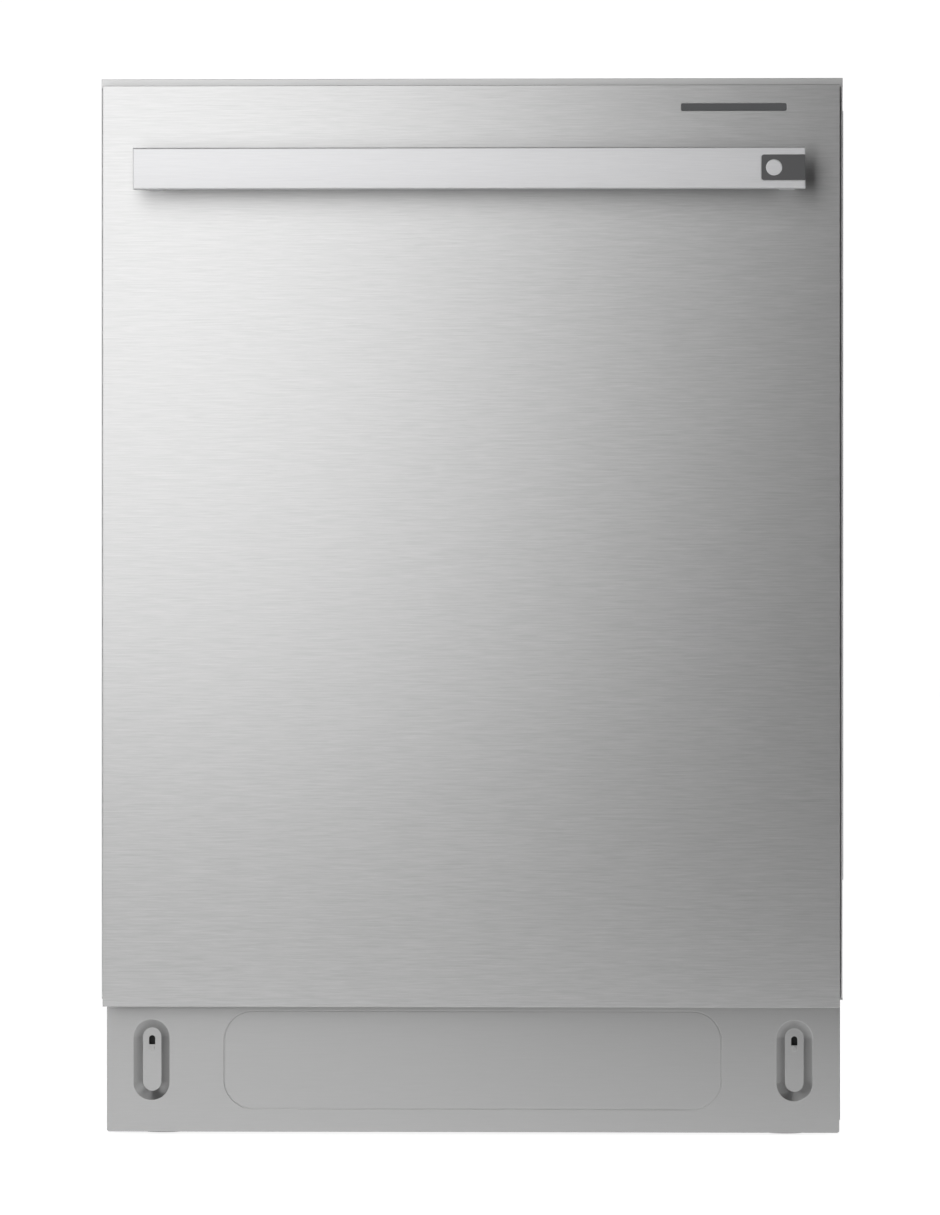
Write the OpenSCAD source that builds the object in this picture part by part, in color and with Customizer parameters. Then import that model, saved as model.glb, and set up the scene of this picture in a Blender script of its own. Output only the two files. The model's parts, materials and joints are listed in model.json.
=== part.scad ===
// Built-in dishwasher with a stainless door, a bar handle and a recessed toe-kick.
// +Z is up, +X is the right-hand side seen from the front, and the door faces -Y.
// The origin is the centre of the footprint, on the floor.

/* [Overall] */
// Width of the door's outer panel
door_w = 596; // [560:1:760]
// Height from the floor to the top of the front frame
total_h = 859; // [815:1:1040]
// Depth from the door's face to the back panel
body_d = 560; // [540:1:700]
// How far the front frame stands out past the door on each side
frame_proud = 2.7; // [1.5:0.1:6]
// How far the side trim stands out past the front frame
trim_proud = 0.7; // [0.3:0.1:2]
// Height of the frame strip that shows above the door
top_strip = 6; // [3:0.5:15]

/* [Door] */
// Height of the door's lower edge above the floor
door_bottom = 107; // [95:1:130]
// Depth of the outer panel's folded shell
shell_d = 20; // [16:0.5:28]
// Depth of the inner panel's pressed pan
pan_d = 32; // [24:0.5:40]
// Sheet thickness of the door panels
sheet_t = 1.2; // [0.8:0.1:2]
// Distance of the hinge pin behind the door's face
pivot_back = 34; // [32:0.5:40]
// Height of the hinge pin above the door's lower edge
pivot_up = 10; // [9:0.5:12]
// Radius of the hinge pin
hinge_pin_r = 5; // [3:0.5:7]
// Width of the display window
window_w = 85; // [40:1:140]
// Height of the display window
window_h = 6; // [4:0.5:12]
// Distance of the window's centre from the door's right edge
window_inset = 85.5; // [75:0.5:200]
// Distance of the window's centre below the door's top edge
window_drop = 18; // [14:0.5:24]

/* [Handle] */
// Length of the handle bar
handle_l = 538.5; // [300:0.5:560]
// Height of the handle bar
handle_h = 33; // [20:0.5:50]
// Thickness of the handle bar, front to back
handle_t = 17; // [10:0.5:25]
// How far the handle stands out in front of the door
handle_reach = 55; // [40:1:80]
// Distance of the handle's centre below the door's top edge
handle_drop = 70; // [60:1:150]
// Length of the dark inlay at the handle's right end
inlay_l = 35; // [20:1:60]
// Height of the inlay
inlay_h = 20.5; // [10:0.5:28]

/* [Toe-kick] */
// Gap between the floor and the toe-kick
kick_lift = 2.5; // [1:0.5:10]
// How far the toe-kick is set back from the door's face
kick_back = 50; // [48:1:70]
// Distance of each pocket's middle from the toe-kick's end
pocket_inset = 36.5; // [30:0.5:60]
// Width of a pocket at its rim
pocket_w = 29.5; // [24:0.5:34]
// Height of a pocket at its rim
pocket_h = 66; // [50:1:80]
// Depth of a pocket
pocket_d = 7.5; // [4:0.5:9]
// Width of the embossed outline
emboss_w = 406; // [200:1:460]
// Height of the embossed outline
emboss_h = 80.5; // [50:0.5:90]
// Corner radius of the embossed outline
emboss_r = 24; // [8:1:38]

/* [Tub] */
// Space between the tub's side walls and the outside of the machine
side_wall = 25.4; // [24:0.1:40]
// Space between the tub's rear wall and the back panel
rear_wall = 26; // [20:1:40]
// Height of the tub's floor
tub_floor = 130; // [128:1:150]
// Distance of the tub's ceiling below the top of the frame
tub_top_gap = 22; // [20:1:40]
// Sheet thickness of the tub
tub_t = 1; // [0.6:0.1:1.6]
// Radius of the sump
sump_r = 112; // [100:1:125]

/* [Racks] */
// Gap between the closed door and the fronts of the racks
rack_front_gap = 42; // [40:1:60]
// Gap between the racks and the tub's rear wall
rack_rear_gap = 14; // [13:1:30]
// Thickness of the rack wire
wire = 3.6; // [2.5:0.1:5]
// Height of the upper rack's floor
upper_rack_z = 484; // [470:1:560]
// Height of the upper rack's walls
upper_rack_h = 120; // [90:1:150]
// Height of the lower rack's floor
lower_rack_z = 186; // [184:1:200]
// Height of the lower rack's walls
lower_rack_h = 116; // [80:1:150]
// Height of the cutlery tray's walls
tray_h = 34; // [24:1:45]
// Radius of the lower rack's wheels
wheel_r = 17; // [14:0.5:20]
// Least gap between the lower spray arm's tips and whatever they pass
arm_gap = 2; // [2:0.5:30]
// How much shorter the upper spray arm is than the lower one
mid_arm_less = 40; // [20:1:80]

/* [Base] */
// Radius of a levelling foot's stem
foot_stem_r = 5; // [4:0.5:7]
// Radius of a levelling foot's pad
foot_pad_r = 19; // [14:0.5:24]
// Radius of the drain stub
drain_r = 10; // [8:0.5:14]
// Radius of the water inlet's threaded stub
inlet_r = 13.2; // [9:0.1:16]
// Radius of the conduit knockout in the power box
knockout_r = 11.1; // [8:0.1:15]

/* [Hidden] */
$fn = 48;

// Fits and clearances
run = 0.05;       // radial clearance of a pin or shaft in its bore
slide_gap = 0.3;  // gap between sliding faces
weld_gap = 0.1;   // gap between the panels of one rack
door_gap = 1;     // gap above the door

// Overall lines
total_d = body_d + handle_reach;
front_y = handle_reach - total_d / 2;
rear_y = total_d / 2;
frame_half = door_w / 2 + frame_proud;
frame_t = 1.3;
body_half = frame_half - frame_t;
panel_t = 0.8;

// Door lines
door_top = total_h - top_strip - door_gap;
door_h = door_top - door_bottom;
liner_y = front_y + shell_d;
pan_y = liner_y + pan_d;
pivot_y = front_y + pivot_back;
pivot_z = door_bottom + pivot_up;
handle_z = door_top - handle_drop;
window_x = door_w / 2 - window_inset;
window_z = door_top - window_drop;

// Tub lines
tub_half = body_half - side_wall;
tub_top = total_h - tub_top_gap;
seal_gap = 2.8;
frame_y = liner_y + sheet_t + seal_gap;
rear_in = rear_y - rear_wall;
swing_gap = 4;
tub_front = pan_y + swing_gap;
centre_y = (pan_y + rear_in) / 2;
pan_half = tub_half - 6;
ledge_z = tub_floor + 10;
ledge_w = 30;

// Base lines
base_z0 = 12;
base_t = 3;
base_y0 = front_y + kick_back + 16;
base_wall_h = 85;
back_z0 = base_z0 + base_t + base_wall_h + slide_gap;

// Rack lines
riser_t = 9;
arm_reach = min(tub_half - ledge_w, rear_in - centre_y - riser_t) - arm_gap;
rack_half = tub_half - 32;
rack_y0 = pan_y + rack_front_gap;
rack_y1 = rear_in - rack_rear_gap;
rack_l = rack_y1 - rack_y0;
tray_z = tub_top - 68;
rail_h = 20;
rail_z = upper_rack_z + 78;
tray_rail_z = tray_z + 18;

// Turns what is drawn upwards into a wall that faces the front
module upright() {
    rotate([90, 0, 0]) children();
}

// Both sides of the machine
module both_sides() {
    children();
    mirror([1, 0, 0]) children();
}

// A rectangle with round corners, centred
module round_rect(w, h, r) {
    square([w - 2 * r, h], center = true);
    square([w, h - 2 * r], center = true);
    for (x = [-1, 1], y = [-1, 1])
        translate([x * (w / 2 - r), y * (h / 2 - r)]) circle(r);
}

// A flat grid of square wire, centred, that lies in the XY plane
module wire_grid(lx, ly, nx, ny) {
    linear_extrude(wire) {
        for (i = [0 : nx - 1])
            translate([(i / (nx - 1) - 0.5) * (lx - wire) - wire / 2, -ly / 2]) square([wire, ly]);
        for (j = [0 : ny - 1])
            translate([-lx / 2, (j / (ny - 1) - 0.5) * (ly - wire) - wire / 2]) square([lx, wire]);
    }
}

// An open wire basket: a floor and four walls, each a flat panel of its own
module wire_basket(half, y0, length, z0, h, nx, ny) {
    wall_h = h - wire;
    wall_z = z0 + wire + weld_gap + wall_h / 2;
    rows = max(2, round(h / 36) + 1);
    translate([0, y0 + length / 2, z0]) wire_grid(2 * half, length, nx, ny);
    for (y = [y0 + wire, y0 + length])
        translate([0, y, wall_z]) upright() wire_grid(2 * half, wall_h, nx, rows);
    side_l = length - 2 * (wire + weld_gap);
    for (x = [-half, half - wire])
        translate([x, y0 + length / 2, wall_z]) rotate([90, 0, 90]) wire_grid(side_l, wall_h, ny, rows);
}

// ---------- Door ----------

lip = 8;
window_play = 0.2;

// Folded stainless sheet with four returns and short inward lips
module door_outer_panel() {
    color("silver") difference() {
        translate([-door_w / 2, front_y, door_bottom]) cube([door_w, shell_d, door_h]);
        translate([-door_w / 2 + sheet_t, front_y + sheet_t, door_bottom + sheet_t])
            cube([door_w - 2 * sheet_t, shell_d - 2 * sheet_t, door_h - 2 * sheet_t]);
        translate([-door_w / 2 + lip, front_y + shell_d / 2, door_bottom + lip])
            cube([door_w - 2 * lip, shell_d, door_h - 2 * lip]);
        translate([window_x, front_y + sheet_t + 1, window_z]) upright() linear_extrude(sheet_t + 2)
            round_rect(window_w, window_h, 1.2);
        strip_cut();
        for (x = [-1, 1])
            translate([x * post_x, front_y + sheet_t + 1, handle_z]) upright() cylinder(r = 3, h = sheet_t + 2);
    }
}

// Pressed stainless liner that closes the tub
pan_bottom = door_bottom + 5;
pan_top = tub_top - 7;
liner_half = door_w / 2 - 4;
liner_z0 = door_bottom + 2;
liner_top = door_top - 2;
latch_w = 30;
latch_z = liner_top - 10;
disp_w = 150;
disp_h = 110;
disp_z = pivot_z + 370;
disp_d = 24;
disp_proud = 3;
module door_inner_panel() {
    color("gainsboro") difference() {
        union() {
            translate([-liner_half, liner_y, liner_z0])
                cube([2 * liner_half, sheet_t, liner_top - liner_z0]);
            translate([-pan_half, liner_y, pan_bottom]) cube([2 * pan_half, pan_d, pan_top - pan_bottom]);
        }
        translate([-pan_half + sheet_t, liner_y - 1, pan_bottom + sheet_t])
            cube([2 * (pan_half - sheet_t), pan_d - sheet_t + 1, pan_top - pan_bottom - 2 * sheet_t]);
        translate([-latch_w / 2, liner_y - 1, latch_z - 7]) cube([latch_w, sheet_t + 2, 14]);
        translate([-disp_w / 2, liner_y - 1, disp_z - disp_h / 2]) cube([disp_w, pan_d + 2, disp_h]);
    }
}

// Sound and heat blanket between the two panels
module door_insulation() {
    color("dimgray") translate([-pan_half + 6, front_y + sheet_t, pan_bottom + 8])
        cube([2 * (pan_half - 6), 14, handle_z - handle_h - pan_bottom - 30]);
}

// Slightly crowned bar, cut short at the right end for the inlay's pocket
post_x = handle_l / 2 - 14;
crown_r = 240;
edge_r = 2;
bar_y = front_y - handle_reach;
inlay_t = 1.6;
inlay_proud = 0.2;
inlay_r = 2;
module bar_profile() {
    intersection() {
        translate([handle_t / 2, 0]) round_rect(handle_t, handle_h, edge_r);
        translate([crown_r, 0]) circle(crown_r, $fn = 360);
    }
}

// The inlay's outline, round at its left end, which runs past the bar's right end by more
module inlay_outline(more) {
    translate([(handle_l - inlay_l) / 2, 0]) round_rect(inlay_l, inlay_h, inlay_r);
    translate([handle_l / 2 - 2 * inlay_r, -inlay_h / 2]) square([2 * inlay_r + more, inlay_h]);
}

module handle_bar() {
    color("whitesmoke") difference() {
        translate([-handle_l / 2, bar_y, handle_z]) rotate([90, 0, 90]) linear_extrude(handle_l) bar_profile();
        translate([0, bar_y + inlay_t, handle_z]) upright() linear_extrude(inlay_t + 1) inlay_outline(1);
    }
}

// Two standoffs between the bar and the door
post_w = 16;
module handle_posts() {
    color("gray") both_sides() translate([post_x, front_y, handle_z]) upright()
        linear_extrude(handle_reach - handle_t) round_rect(post_w, handle_h - 3, 3);
}

// Dark plate let into the bar
module handle_inlay() {
    color("darkslategray") difference() {
        translate([0, bar_y + inlay_t, handle_z]) upright()
            linear_extrude(inlay_t - inlay_proud) inlay_outline(0);
        translate([disc_x, bar_y + disc_t, handle_z]) upright() cylinder(r = disc_r, h = 5);
    }
}

// Plain round satin disc on the inlay
disc_r = 6.5;
disc_t = 1;
disc_x = handle_l / 2 - inlay_l + 10;
module inlay_disc() {
    color("silver") translate([disc_x, bar_y + disc_t, handle_z]) upright()
        cylinder(r = disc_r, h = disc_t - inlay_proud + 0.15);
}

// Smoked lens, flush in the panel, with a lamp housing behind it
module display_window() {
    color("darkslategray") {
        translate([window_x, front_y + 4, window_z]) upright()
            linear_extrude(3.8) round_rect(window_w - window_play, window_h - window_play, 1.1);
        translate([window_x - window_w / 2 - 3, front_y + 4, window_z - 6]) cube([window_w + 6, 8, 12]);
    }
}

// Hidden control strip in the door's top edge
strip_w = 300;
strip_d = 13;
strip_h = 9;
strip_y = front_y + 3;
button_w = 20;
button_d = 8;
button_step = 60;
button_travel = 1.5;
button_proud = 0.5;
module strip_cut() {
    translate([-strip_w / 2 - window_play / 2, strip_y - window_play / 2, door_top - sheet_t - 1])
        cube([strip_w + window_play, strip_d + window_play, sheet_t + 2]);
}
module control_strip() {
    color("black") difference() {
        translate([-strip_w / 2, strip_y, door_top - strip_h]) cube([strip_w, strip_d, strip_h]);
        for (n = [-1 : 1])
            translate([n * button_step - button_w / 2, strip_y + (strip_d - button_d) / 2, door_top - strip_h + 2])
                cube([button_w, button_d, strip_h]);
    }
}

// A push button in the control strip, number n
module top_button(n) {
    translate([n * button_step - button_w / 2 + slide_gap, strip_y + (strip_d - button_d) / 2 + slide_gap,
        door_top - strip_h + 2 + button_travel + slide_gap])
        cube([button_w - 2 * slide_gap, button_d - 2 * slide_gap,
            strip_h - 2 - button_travel - slide_gap + button_proud]);
}
module power_button() { color("silver") top_button(-1); }
module program_button() { color("silver") top_button(0); }
module start_button() { color("silver") top_button(1); }

// Lock housing behind the liner's latch slot, with a guide for the bolt
bolt_w = 6;
bolt_d = 5;
bolt_travel = 4;
bolt_y = liner_y - 9;
lock_floor = latch_z - 26;
module door_lock() {
    color("dimgray") difference() {
        translate([-latch_w / 2 - 4, liner_y - 15, lock_floor]) cube([latch_w + 8, 15, 22]);
        translate([-bolt_w / 2 - slide_gap, bolt_y - bolt_d / 2 - slide_gap, lock_floor - 1])
            cube([bolt_w + 2 * slide_gap, bolt_d + 2 * slide_gap, 24]);
    }
}

// Bolt that rises into the striker's window when a programme runs
module lock_bolt() {
    color("silver") translate([-bolt_w / 2, bolt_y - bolt_d / 2, lock_floor])
        cube([bolt_w, bolt_d, latch_z - lock_floor - 2.2]);
}

// Detergent and rinse-aid dispenser
cup_w = 60;
cup_h = 70;
cup_x = -35;
cap_x = 42;
cap_r = 17;
cap_h = 6;
disp_face = pan_y + disp_proud;
module dispenser() {
    color("lightgray") difference() {
        translate([-disp_w / 2 + 1, disp_face - disp_d, disp_z - disp_h / 2 + 1])
            cube([disp_w - 2, disp_d, disp_h - 2]);
        translate([cup_x - cup_w / 2, disp_face - 18, disp_z - cup_h / 2]) cube([cup_w, 20, cup_h]);
        translate([cap_x, disp_face + 1, disp_z]) upright() cylinder(r = cap_r + run, h = cap_h + 1);
    }
}

// Lid that slides aside over the detergent cup
module detergent_lid() {
    color("slategray") translate([cup_x - cup_w / 2 - 4, disp_face + slide_gap, disp_z - cup_h / 2 - 4])
        cube([cup_w + 8, 3, cup_h + 8]);
}

// Quarter-turn cap of the rinse-aid tank, with a grip that stays below the lid
module rinse_aid_cap() {
    color("slategray") translate([cap_x, disp_face, disp_z]) upright() difference() {
        cylinder(r = cap_r, h = cap_h);
        for (x = [-1, 1])
            translate([x * cap_r / 2 - 5, -cap_r / 2, -1]) cube([10, cap_r, 4]);
    }
}

// Arms that carry the door on the hinge pins
arm_t = 3;
arm_x = tub_half + 10;
boss_r = 9;
module hinge_arms() {
    color("gray") both_sides() difference() {
        union() {
            translate([arm_x, pivot_y, pivot_z]) rotate([0, 90, 0]) cylinder(r = boss_r, h = arm_t);
            translate([arm_x, liner_y + sheet_t, pivot_z - boss_r])
                cube([arm_t, pivot_y - liner_y - sheet_t, 2 * boss_r]);
            translate([arm_x - 8, liner_y + sheet_t, pivot_z - boss_r]) cube([8 + arm_t, 2, 38]);
        }
        translate([arm_x - 1, pivot_y, pivot_z]) rotate([0, 90, 0]) cylinder(r = hinge_pin_r + run, h = arm_t + 2);
    }
}

// Lip seal on the pan's lower edge
module door_bottom_seal() {
    color("black") translate([-pan_half + 10, pan_y, pan_bottom + 12]) cube([2 * pan_half - 20, 1.5, 6]);
}

// ---------- Casing and tub ----------

frame_z0 = pivot_z - 5;
frame_lip = 14;
leg_x = arm_x + arm_t + 5;
leg_top = pivot_z + 33;

// Bright flange round the tub's mouth, with lips that run back along the sides and top
module front_frame() {
    color("white") difference() {
        translate([-frame_half, frame_y, frame_z0]) cube([2 * frame_half, frame_lip, total_h - frame_z0]);
        translate([-body_half, frame_y + frame_t, frame_z0 - 1])
            cube([2 * body_half, frame_lip, total_h - frame_z0 + 1 - frame_t]);
        translate([-tub_half, frame_y - 1, frame_z0 - 1]) cube([2 * tub_half, frame_t + 2, tub_top - frame_z0 + 1]);
        translate([-leg_x, frame_y - 1, frame_z0 - 1]) cube([2 * leg_x, frame_t + 2, leg_top - frame_z0 + 1]);
    }
}

// Soft strips that fill the gap to the cabinets
trim_z0 = 209;
trim_z1 = 833;
trim_d = 8;
module side_trim_strips() {
    color("black") both_sides() translate([body_half, frame_y + frame_lip, trim_z0])
        cube([frame_t + trim_proud, trim_d, min(trim_z1, total_h - 20) - trim_z0]);
}

// Side walls of the tub
tub_y0 = frame_y + frame_t;
module tub_sides() {
    color("silver") both_sides() translate([tub_half, tub_y0, tub_floor])
        cube([tub_t, rear_in - tub_y0, tub_top - tub_floor]);
}

module tub_ceiling() {
    color("silver") translate([-tub_half - tub_t, tub_y0, tub_top])
        cube([2 * (tub_half + tub_t), rear_in - tub_y0, tub_t]);
}

module tub_back() {
    color("silver") translate([-tub_half - tub_t, rear_in, tub_floor])
        cube([2 * (tub_half + tub_t), tub_t, tub_top + tub_t - tub_floor]);
}

// Floor of the tub, with the sump's hole and a ledge on each side for the rack's wheels
floor_t = 1.5;
module tub_bottom() {
    color("silver") {
        difference() {
            translate([-tub_half - tub_t, tub_front, tub_floor - floor_t])
                cube([2 * (tub_half + tub_t), rear_in - tub_front, floor_t]);
            translate([0, centre_y, tub_floor - floor_t - 1]) cylinder(r = sump_r, h = floor_t + 2, $fn = 96);
        }
        both_sides() translate([tub_half - ledge_w, tub_front, tub_floor])
            cube([ledge_w, rear_in - tub_front, ledge_z - tub_floor]);
    }
}

// Seal between the tub's mouth and the edge of the door's pan
seal_play = 0.5;
module tub_gasket() {
    seal_in = pan_half + seal_play;
    color("black") difference() {
        translate([-tub_half, tub_y0 + 3, tub_floor]) cube([2 * tub_half, 10, tub_top - tub_floor]);
        translate([-seal_in, tub_y0, tub_floor - 1]) cube([2 * seal_in, 20, pan_top + seal_play - tub_floor + 1]);
    }
}

// Sound-damping blanket over the sides and the ceiling
mat_t = 12;
mat_z0 = leg_top + 15;
module insulation_mat() {
    mat_l = rear_in - tub_y0 - 4;
    color("dimgray") {
        both_sides() translate([tub_half + tub_t, tub_y0 + 2, mat_z0]) cube([mat_t, mat_l, tub_top - mat_z0]);
        translate([-tub_half, tub_y0 + 16, tub_top + tub_t]) cube([2 * tub_half, mat_l - 14, mat_t]);
    }
}

// Side sheets, notched at the toe-kick
module side_panels() {
    color("gainsboro") both_sides() difference() {
        translate([body_half - panel_t, tub_y0, base_z0])
            cube([panel_t, rear_y - panel_t - tub_y0, total_h - frame_t - base_z0]);
        translate([body_half - 2 * panel_t, tub_y0 - 1, base_z0 - 1])
            cube([3 * panel_t, base_y0 - tub_y0 + 1, frame_z0 - base_z0 + 1]);
    }
}

// Back sheet, open below for the hoses
module back_panel() {
    color("gainsboro") translate([-body_half, rear_y - panel_t, back_z0])
        cube([2 * body_half, panel_t, total_h - frame_t - back_z0]);
}

// Tabs with screw holes for the underside of a counter
tab_x = 200;
tab_w = 26;
tab_l = 36;
tab_hole_r = 2.25;
tab_y = frame_y + 28;
module counter_tabs() {
    color("silver") both_sides() difference() {
        translate([tab_x - tab_w / 2, tub_y0, total_h - frame_t - 1.5]) cube([tab_w, tab_l, 1.5]);
        translate([tab_x, tab_y, total_h - frame_t - 3]) cylinder(r = tab_hole_r, h = 5);
    }
}

// Tongue that enters the door's latch slot, with a window for the bolt
tongue_w = 20;
module striker() {
    color("silver") {
        difference() {
            translate([-tongue_w / 2, bolt_y - 6, latch_z - 1]) cube([tongue_w, frame_y - bolt_y + 6, 2]);
            translate([-bolt_w / 2 - 1, bolt_y - bolt_d / 2 - 1, latch_z - 2]) cube([bolt_w + 2, bolt_d + 2, 4]);
        }
        translate([-tongue_w / 2, frame_y - 1.2, latch_z - 1]) cube([tongue_w, 1.2, 8]);
    }
}

// Brackets with the fixed hinge pins
bracket_t = 3;
bracket_x = arm_x + arm_t + 1.5;
bracket_l = 70;
tray_wall = 3;
tray_half = body_half - panel_t;
module hinge_brackets() {
    color("gray") both_sides() {
        translate([bracket_x, pivot_y, pivot_z]) rotate([0, 90, 0]) cylinder(r = boss_r, h = bracket_t);
        translate([bracket_x, pivot_y, pivot_z - boss_r]) cube([bracket_t, bracket_l, 2 * boss_r]);
        translate([bracket_x, pivot_y + bracket_l - 28, 60]) cube([bracket_t, 28, pivot_z - 60]);
        translate([bracket_x, pivot_y + bracket_l - 24, 62])
            cube([tray_half - tray_wall - bracket_x, 20, 12]);
        translate([arm_x - 2, pivot_y, pivot_z]) rotate([0, 90, 0])
            cylinder(r = hinge_pin_r, h = bracket_x + bracket_t - arm_x + 2);
    }
}

// ---------- Base ----------

foot_x = body_half - 44.4;
foot_front_y = base_y0 + 30;
foot_rear_y = rear_y - 50;
foot_boss_r = foot_stem_r + 7;
foot_boss_h = 46;
ear_h = 63;
ear_t = 4;
kick_y = front_y + kick_back;
module base_tray() {
    color("dimgray") difference() {
        union() {
            translate([-tray_half, base_y0, base_z0]) cube([2 * tray_half, rear_y - base_y0, base_t]);
            both_sides() {
                translate([tray_half - tray_wall, base_y0, base_z0])
                    cube([tray_wall, rear_y - base_y0, base_t + base_wall_h]);
                translate([kick_w / 2 - sheet_t - slide_gap - ear_t, kick_y + sheet_t, base_z0])
                    cube([ear_t, base_y0 - kick_y - sheet_t + tray_wall, ear_h]);
                for (y = [foot_front_y, foot_rear_y])
                    translate([foot_x, y, base_z0]) cylinder(r = foot_boss_r, h = base_t + foot_boss_h);
            }
            translate([-tray_half, base_y0, base_z0]) cube([2 * tray_half, tray_wall, base_t + base_wall_h]);
            translate([-tray_half, rear_y - tray_wall, base_z0]) cube([2 * tray_half, tray_wall, 28]);
        }
        both_sides() for (y = [foot_front_y, foot_rear_y])
            translate([foot_x, y, base_z0 - 1]) cylinder(r = foot_stem_r + run, h = base_t + foot_boss_h + 2);
    }
}

// A levelling foot at x, y: a pad on a stem
foot_travel = 45;
foot_pad_h = 7;
module foot(x, y) {
    translate([x, y, 0]) cylinder(r = foot_pad_r, h = foot_pad_h);
    translate([x, y, 0]) cylinder(r = foot_stem_r, h = base_z0 + foot_travel + 35);
}
module front_foot_left() { color("dimgray") foot(-foot_x, foot_front_y); }
module front_foot_right() { color("dimgray") foot(foot_x, foot_front_y); }
module rear_feet() { color("dimgray") both_sides() foot(foot_x, foot_rear_y); }

// A long cup with sloping walls, drawn from its rim at z = 0 down to its floor at z = d
module long_taper(length, r0, r1, d) {
    for (y = [-1, 1])
        translate([0, y * length / 2, 0]) cylinder(r1 = r0, r2 = r1, h = d);
    translate([0, length / 2, 0]) rotate([90, 0, 0]) linear_extrude(length)
        polygon([[-r0, 0], [r0, 0], [r1, d], [-r1, d]]);
}

kick_w = door_w + 1;
pocket_x = kick_w / 2 - pocket_inset;
kick_top = door_bottom - 1.5;
kick_return = 12;
pocket_z = kick_top - 44.3;
slot_z = pocket_z + 17;
slot_w = 5;
dimple_z = pocket_z + 9;
emboss_line = 0.9;
emboss_depth = 0.4;

// Turns what is drawn upwards into a recess that runs back from the toe-kick's face
module into_kick(x, z) {
    translate([x, kick_y, z]) rotate([-90, 0, 0]) children();
}
module toe_kick() {
    kick_h = kick_top - kick_lift;
    rim_r = pocket_w / 2;
    floor_r = rim_r - pocket_d + 0.25;
    color("silver") difference() {
        union() {
            translate([0, kick_y + sheet_t, kick_lift + kick_h / 2]) upright()
                linear_extrude(sheet_t) round_rect(kick_w, kick_h, 2);
            both_sides() translate([kick_w / 2 - sheet_t, kick_y + sheet_t / 2, kick_lift + 4])
                cube([sheet_t, kick_return, kick_h - 8]);
            translate([-kick_w / 2 + 4, kick_y + sheet_t / 2, kick_top - sheet_t])
                cube([kick_w - 8, kick_return, sheet_t]);
            for (x = [-pocket_x, pocket_x])
                into_kick(x, pocket_z) long_taper(pocket_h - pocket_w, rim_r + sheet_t, floor_r + sheet_t,
                    pocket_d + sheet_t);
        }
        for (x = [-pocket_x, pocket_x]) {
            into_kick(x, pocket_z) long_taper(pocket_h - pocket_w, rim_r, floor_r, pocket_d);
            into_kick(x, slot_z) translate([-slot_w / 2, 0, pocket_d - 1]) cube([slot_w, slot_w, 4]);
            into_kick(x, slot_z) translate([0, 0, pocket_d - 1]) cylinder(r = slot_w / 2, h = 4);
        }
        translate([0, kick_y + emboss_depth, pocket_z]) upright() linear_extrude(emboss_depth + 1)
            difference() {
                round_rect(emboss_w, emboss_h, emboss_r);
                round_rect(emboss_w - 2 * emboss_line, emboss_h - 2 * emboss_line, emboss_r - emboss_line);
            }
    }
    color("silver") for (x = [-pocket_x, pocket_x])
        into_kick(x, dimple_z) translate([0, 0, pocket_d - 0.8]) cylinder(r = 2, h = 1);
}

// Door balance springs, close-wound, each drawn as its envelope with an eye at either end
spring_x = arm_x - 1;
spring_y0 = pivot_y + 80;
spring_z = 80;
spring_r = 8;
spring_wire = 2.6;
spring_l = 150;
module door_springs() {
    color("gray") both_sides() translate([spring_x, spring_y0, spring_z]) rotate([-90, 0, 0]) {
        difference() {
            cylinder(r = spring_r, h = spring_l);
            translate([0, 0, -1]) cylinder(r = spring_r - spring_wire, h = spring_l + 2);
        }
        for (z = [-spring_r, spring_l - spring_wire])
            translate([-spring_wire / 2, -spring_r + 1, z])
                cube([spring_wire, 2 * spring_r - 2, spring_r + spring_wire]);
    }
}

// ---------- Water path ----------

sump_z0 = 58;
sump_wall = 3;
pipe_r = 14;
arm_z = tub_floor + 20;
arm_hub_h = 16;
filter_r = 30;
filter_y = centre_y - sump_r + 48;
module sump() {
    color("dimgray") translate([0, centre_y, 0]) {
        difference() {
            union() {
                translate([0, 0, sump_z0]) cylinder(r = sump_r - slide_gap, h = tub_floor - sump_z0, $fn = 96);
                translate([0, 0, tub_floor]) cylinder(r = sump_r + 8, h = 2, $fn = 96);
            }
            translate([0, 0, sump_z0 + sump_wall])
                cylinder(r = sump_r - slide_gap - sump_wall, h = tub_floor, $fn = 96);
        }
        difference() {
            translate([0, 0, sump_z0 + sump_wall]) cylinder(r = pipe_r, h = arm_z + 6 - sump_z0 - sump_wall);
            translate([0, 0, sump_z0 + 2 * sump_wall]) cylinder(r = pipe_r - 3, h = arm_z);
        }
    }
}

filter_z0 = tub_floor + 2;
module coarse_filter() {
    color("silver") translate([0, 0, filter_z0]) difference() {
        translate([0, centre_y, 0]) cylinder(r = sump_r + 4, h = 2, $fn = 96);
        translate([0, centre_y, -1]) cylinder(r = pipe_r + 1, h = 4);
        translate([0, filter_y, -1]) cylinder(r = filter_r + slide_gap, h = 4);
    }
}

// Cup filter that turns a quarter to unlock
module filter_cylinder() {
    color("lightgray") translate([0, filter_y, filter_z0]) {
        difference() {
            union() {
                translate([0, 0, -52]) cylinder(r = filter_r, h = 54);
                translate([0, 0, 2]) cylinder(r = filter_r + 3, h = 2);
            }
            translate([0, 0, -50]) cylinder(r = filter_r - 2, h = 60);
        }
        translate([-filter_r + 1, -3, 2]) cube([2 * filter_r - 2, 6, 10]);
    }
}

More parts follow.
